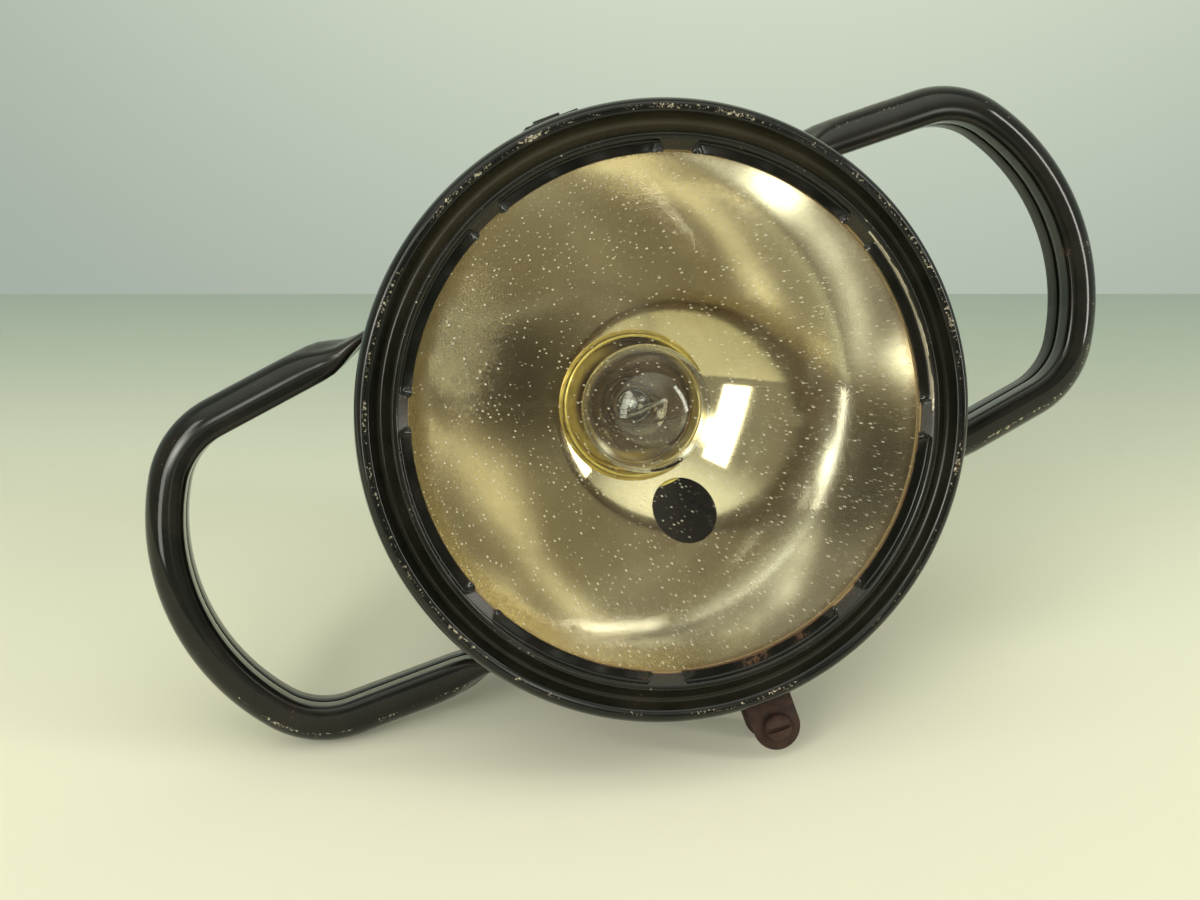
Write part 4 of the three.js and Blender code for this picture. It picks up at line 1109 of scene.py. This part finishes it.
def globe():
    """A blown ball of glass with an even wall and a short neck."""
    halves = []
    for radius, neck in (
        (BULB_RADIUS, NECK_RADIUS),
        (BULB_RADIUS - BULB_WALL, NECK_RADIUS - BULB_WALL),
    ):
        end = 4 - math.degrees(math.acos(neck / radius))
        half = arc(BULB_CENTRE, radius, 90, end, 44)
        half[0, 0] = 0
        halves.append([tuple(point) for point in half])
    neck_outside = [(6.9, -69.9), (6.65, -71.2), (6.6, -73.0)]
    neck_inside = [(5.8, -73.0), (5.85, -71.2), (6.1, -69.4)]
    profile = halves[0] + neck_outside + neck_inside + halves[1][::-1]
    piece("blown_globe", spun("globe", profile, 96), "bulb", "bulb", ["bulb_globe"], 0.0, 30.0)


def bulb():
    globe()
    stem = [
        (0, -58), (1.2, -58.3), (1.9, -59.3), (2.1, -62), (2.0, -68), (3.4, -70.6),
        (5.4, -72.2), (5.5, -73), (0, -73),
    ]
    piece("glass_stem", spun("stem", stem, 48), "bulb", "bulb", ["bulb_stem"], 0.0, 40.0)
    cap = [
        (6.9, -70.9), (7.1, -70.6), (7.5, -70.7), (7.6, -71.4), (7.3, -71.9), (7.6, -72.4),
        (7.6, -90.6), (7.2, -91.5), (6.4, -91.7), (0, -91.7), (0, -90.2), (6.9, -90.2),
    ]
    parts = [spun("cap", cap, 72)]
    for side in (90, -90):
        pin = spun("pin", [(0, 6.9), (1.0, 6.9), (1.0, 8.2), (0.7, 8.55), (0, 8.6)], 20)
        pin.transform(Matrix.Rotation(math.radians(side), 4, "Y"))
        parts.append(moved(pin, 0, 0, -84))
    piece("bayonet_cap", joined("cap", parts), "sooty", "bulb", ["bulb_cap"])


def filament(wires):
    """Two lead wires and the coil that bows between their hooks."""
    half, rise, coil, turns, steps = 7.5, 2.7, 0.42, 34, 8
    lead = [(-0.7, 0, -57.7), (-2.6, 0, -55.4), (-5.2, 0, -52.6), (-6.9, 0, -50.0)]
    lead.append((-half, 0, -48.4))
    points = list(lead)
    for k in range(turns * steps + 1):
        share = k / (turns * steps)
        middle = BULB_CENTRE[1] + rise * math.sin(math.pi * share) ** 0.7
        angle = 2 * math.pi * k / steps
        x = half * (2 * share - 1)
        points.append((x, coil * math.cos(angle), middle + coil * math.sin(angle)))
    points += [(-x, y, z) for x, y, z in reversed(lead)]
    mesh = bpy.data.meshes.new("filament")
    mesh.from_pydata(points, [(i, i + 1) for i in range(len(points) - 1)], [])
    made = grown(mesh, wires, Wire=0.13, Sides=6, Finish=FINISHES["wire"])
    piece("wound_filament", made, "wire", "bulb", ["bulb_filament"])


# Drum, hook, lug, screw and gland

SCREW_DROP, SCREW_HOLE = 112.8, 3.0
GLAND_DROP = 30


def drum():
    """A rolled mouth, a bowed side, a round corner and a flat back, with the sheet's inside."""
    turn, reach = math.radians(CORNER_TURN), SIDE_BOW - CORNER_RADIUS
    centre = (SIDE_CENTRE[0] + reach * math.cos(turn), SIDE_CENTRE[1] - reach * math.sin(turn))

    def wall(inset):
        side = arc(SIDE_CENTRE, SIDE_BOW - inset, -MOUTH_TURN, -CORNER_TURN, 16)
        corner = arc(centre, CORNER_RADIUS - inset, -CORNER_TURN, -90, 14)
        back = corner[-1, 1]
        return [*map(tuple, side), *map(tuple, corner[1:]), (30, back), (0, back)]

    outer = [(97.1, -12.5), (97.5, -12.8), (97.5, -18.2), (97.3, -19.2), (96.4, -21.2)]
    outer += wall(0)
    inner = wall(1.2)[::-1] + [(95.2, -21.0), (96.2, -19.2), (96.3, -12.8), (96.6, -12.5)]
    marks = {
        mark: [outside] * len(outer) + [inside] * len(inner)
        for mark, outside, inside in (("wear_and_highlight", 0.05, 0.1), ("rust", 0.3, 1.0), ("dust", 0.12, 0.7))
    }
    made = spun("drum", outer + inner, 160, marks)
    piece("spun_drum", made, "enamel", "housing", ["housing"], 0.0, 40.0)


def hook():
    """The rim's slotted tongue and the drum's hook that reaches through it."""
    tongue = plate("tongue", rectangle(-9, 99.9, 9, 101.1), -14.5, -28.2)
    slot = plate("slot", rectangle(-5.5, 98, 5.5, 103), -22, -26)
    tongue = softened(cut(tongue, slot), 0.25)
    piece("hinge_tongue", tongue, "enamel", "rim", ["rim_hook"], RIM_TURN)
    middle, under, sheet = -24.0, 101.4, 1.4
    seat, sunk = housing_radius(24) + GAP, housing_radius(36) + GAP
    outline = [
        (seat, middle + 0.7), (under + 0.9, middle + 0.7), (under + sheet, middle + 0.2),
        (under + sheet, middle - 4.3), (under, middle - 4.3), (under, middle - 0.7),
        (seat + sheet, middle - 0.7), (sunk + sheet, middle - 12.7), (sunk, middle - 12.7),
    ]
    made = softened(strip("hook", outline, 9), 0.2)
    piece("hinge_hook", made, "enamel", "housing", ["housing_hook"], RIM_TURN)


def ear(name, width, inner, front, foot_front, foot_back, edge):
    """A round-ended ear with a hole for the screw, and the foot bent back from it."""
    half, sheet = width / 2, 1.5
    round_part = arc((0, -SCREW_DROP), half, 180, 360, 24)
    outline = [(half, -inner), (-half, -inner), *map(tuple, round_part)]
    flat = plate(name, outline, front, front - sheet)
    flat = softened(bored(flat, 0, -SCREW_DROP, SCREW_HOLE, front + 5, front - 7), edge)
    foot = plate(name, rectangle(-half, -inner - sheet, half, -inner), foot_front, foot_back)
    return joined(name, [flat, softened(foot, 0.3)])


def lug_and_screw():
    """The rim's lug and the drum's tab, with the screw through both and the nut behind."""
    lug = ear("lug", 16, 99.6, -15, -15.6, -18.6, 0.35)
    piece("screw_ear", lug, "rust", "rim", ["screw_lug"], LUG_TURN)
    tab = ear("tab", 15, housing_radius(29) + GAP, -29, -29.6, -40, 0.3)
    piece("drum_tab", tab, "rust", "housing", ["screw_tab"], LUG_TURN)
    square = rectangle(-4.2, -SCREW_DROP - 4.2, 4.2, -SCREW_DROP + 4.2)
    nut = bored(plate("nut", square, -30.8, -34.8), 0, -SCREW_DROP, SCREW_HOLE, -26, -40)
    piece("square_nut", softened(nut, 0.5), "rust", "housing", ["tab_nut"], LUG_TURN)
    seat = -14.7
    head = [(0, 3.0), (1.8, 2.95), (3.2, 2.6), (4.2, 1.9), (4.7, 1.1), (4.8, 0.4), (4.6, 0)]
    body = [(r, seat + z) for r, z in head] + [(2.4, seat)]
    body += screw_thread(2.4, 2.05, seat - 2.0, 26) + [(1.6, seat - 21), (0, seat - 21)]
    slot = plate("slot", rectangle(-7, -0.7, 7, 0.7), seat + 6, seat + 1.5)
    screw = moved(cut(spun("screw", body, 48), turned(slot, -3)), 0, -SCREW_DROP)
    piece("slotted_screw", screw, "rust", "rim_screw", ["rim_screw"], LUG_TURN, 40.0)


def gland():
    """A hexagon against the drum's back, a nose behind it and a threaded pipe through the sheet."""
    back, bore = DRUM_BACK - GAP, 3.4
    hexagon = [(bore, back), (9.5, back), (9.5, back - 7), (bore, back - 7)]
    nose = [
        (bore, back - 6.7), (6.8, back - 6.7), (7.0, back - 7.5), (6.3, back - 10.6),
        (5.8, back - 11), (bore, back - 11),
    ]
    pipe = [(bore, back + 6), (5.6, back + 6), *screw_thread(6.0, 5.6, back + 5.8, 8)]
    pipe += [(5.6, back - 1), (bore, back - 1)]
    parts = [softened(spun("hexagon", hexagon, 6), 0.5), spun("nose", nose, 48)]
    made = moved(joined("gland", [*parts, spun("pipe", pipe, 48)]), 0, -GLAND_DROP)
    piece("hexagon_gland", made, "brass", "housing", ["cable_gland"])


def keep_nodes():
    """Nodes whose shape is already right get their finish."""
    for name, finish in (
        ("gland_nut", "brass"),
        ("terminal_block", "phenolic"),
        ("terminal_screw_left", "brass"),
        ("terminal_screw_right", "brass"),
        ("contact_plunger_left", "brass"),
        ("contact_plunger_right", "brass"),
    ):
        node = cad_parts[name]
        node.data.materials.clear()
        node.data.materials.append(FINISHES[finish])


# Stage and light

# The table's far edge runs level through the picture
EDGE_POINT = Vector((0.0597, 0.4243, 0.0))
EDGE_TURN = math.radians(-13.81)
LIT_POINT = Vector((0, 0, 0.12))

# Hoops of light by azimuth, height, radius, width and strength, and glows without a radius
HOOPS = ((-5.5, 15, 15.7, 1.5, 1.5), (-3, 22, 19.1, 1.6, 0.9))
GLOWS = ((-19, 39, 4, 7.5), (-40, 30, 7, 15.0), (26, 31, 4, 5.0))


def stage_finish(name, near, far, low, high, upright, glow):
    """A pale surface with painted light: its colour darkens from the table's near side towards its
    far edge, or brightens towards a pool high in the middle of the wall.
    """
    finish = Finish(name, Roughness=0.85, Specular_IOR_Level=0.15)
    inputs = {
        "Vector": finish.node("ShaderNodeTexCoord").out("Object"),
        "Location": EDGE_POINT,
        "Rotation": (0.0, 0.0, EDGE_TURN),
    }
    place = finish.node("ShaderNodeMapping", inputs, vector_type="TEXTURE")
    parts = finish.node("ShaderNodeSeparateXYZ", {"Vector": place})
    if upright:
        aside, up = parts.out("X") - 0.1, parts.out("Z") - 0.5
        along = 1 - (aside * aside * 0.8 + up * up) ** 0.5
    else:
        along = parts.out("Y")
    # This blend paints light: the falloff across the table, and the pool of light on the wall.
    paint = finish.blend(along.rise(low, high), near, far)
    finish.show(Base_Color=paint)
    path = finish.node("ShaderNodeLightPath")
    seen = path.out("Is Camera Ray").most(path.out("Is Glossy Ray"))
    seen = seen.most(path.out("Is Transmission Ray"))
    shine = finish.node("ShaderNodeEmission", {"Color": paint, "Strength": 1.0})
    shader = finish.mixed(seen * glow, finish.surface, shine)
    behind = finish.node("ShaderNodeNewGeometry").out("Backfacing")
    return finish.done(finish.mixed(behind, shader, finish.node("ShaderNodeBsdfTransparent")))


def stage():
    """A table top and the wall across it. Both are clear when seen from their backs."""
    turn = Matrix.Translation(EDGE_POINT) @ Matrix.Rotation(EDGE_TURN, 4, "Z")
    # The table runs from lit near to dim far: a painted falloff of light.
    near, far = (0.76, 0.74, 0.60), (0.32, 0.38, 0.34)
    table = stage_finish("pale_table", near, far, -0.55, 0.05, False, 0.12)
    # Dim at the sides and bright high in the middle: a painted pool of light on the wall.
    dim, bright = (0.38, 0.44, 0.38), (0.82, 0.88, 0.69)
    pale_wall = stage_finish("pale_wall", dim, bright, 0.3, 1.0, True, 1.0)
    for name, corners, finish in (
        ("floor", [(x, y, 0) for x, y in rectangle(-1.7, -1.9, 1.7, 1.3)], table),
        ("wall", [(x, 0, z) for x, z in rectangle(-4, -0.2, 4, 3)], pale_wall),
    ):
        mesh = as_mesh(name, corners, [(0, 1, 2, 3)])
        mesh.materials.append(finish)
        mesh.transform(turn)
        placed(name, mesh)


def towards(azimuth, height):
    """A direction by its angles from the front and from level."""
    azimuth, height = math.radians(azimuth), math.radians(height)
    level = math.cos(height)
    return Vector((math.sin(azimuth) * level, -math.cos(azimuth) * level, math.sin(height)))


def soft_lamp(name, azimuth, height, distance, size, radiance, colour):
    """A rectangular lamp that faces the spotlight."""
    way = towards(azimuth, height)
    data = bpy.data.lights.new(name, "AREA")
    data.shape = "RECTANGLE"
    data.size, data.size_y = size
    data.energy = radiance * math.pi * size[0] * size[1]
    data.color = colour
    made = placed(name, data)
    made.visible_camera = False
    facing = (-way).to_track_quat("-Z", "Y").to_matrix().to_4x4()
    made.matrix_world = Matrix.Translation(LIT_POINT + way * distance) @ facing


def angle_off(net, way, azimuth, height):
    """The angle between a direction and a place in the room."""
    inputs = {0: way, 1: towards(azimuth, height)}
    across = net.node("ShaderNodeVectorMath", inputs, operation="DOT_PRODUCT").out("Value")
    return across.sum("ARCCOSINE", across)


def room():
    """An even room, with soft bright hoops that the dish draws out into arcs, and soft glows."""
    world = bpy.data.worlds.new("room")
    bpy.context.scene.world = world
    world.use_nodes = True
    net = Net(world.node_tree)
    way = net.node("ShaderNodeTexCoord").out("Generated")
    broken = net.noise(way, 2.6, 2.0).rise(0.25, 0.6)
    up = net.node("ShaderNodeSeparateXYZ", {"Vector": way}).out("Z")
    level = 0.38 + up.rise(0.6, 1.0) * 1.5
    for azimuth, height, radius, width, strength in HOOPS:
        off = angle_off(net, way, azimuth, height) - math.radians(radius)
        off = off / math.radians(width)
        level = level + off.sum("EXPONENT", off * off * -1.0) * broken * strength
    for azimuth, height, width, strength in GLOWS:
        off = angle_off(net, way, azimuth, height) / math.radians(width)
        level = level + off.sum("EXPONENT", off * off * -1.0) * strength
    shade = angle_off(net, way, 13, 15).rise(math.radians(8), math.radians(17))
    level = level * (0.2 + shade * 0.8)
    tint = net.blend(level.rise(0.3, 1.2), (0.95, 0.90, 0.74), (0.98, 1.0, 0.88))
    looked_at = net.node("ShaderNodeLightPath").out("Is Camera Ray")
    level = level + (1.0 - level) * looked_at
    tint = net.blend(looked_at, tint, (0.42, 0.48, 0.41))
    back = world.node_tree.nodes["Background"]
    net.feed(back, "Color", tint)
    net.feed(back, "Strength", level)


def light():
    room()
    soft_lamp("tall_window", -52.4, 24, 2.5, (0.536, 2.14), 6.0, (1.0, 1.0, 0.90))
    soft_lamp("side_window", 66, 20, 2.6, (0.318, 2.02), 12.0, (1.0, 0.98, 0.90))
    bpy.context.scene.view_settings.view_transform = "Standard"


ring = ring_tree()
pressed_rim(ring)
front_optics(ring)
dish()
collar()
holder()
bulb()
filament(wire_tree())
handles()
rivets(stud_tree())
drum()
hook()
lug_and_screw()
gland()
keep_nodes()
stage()
light()
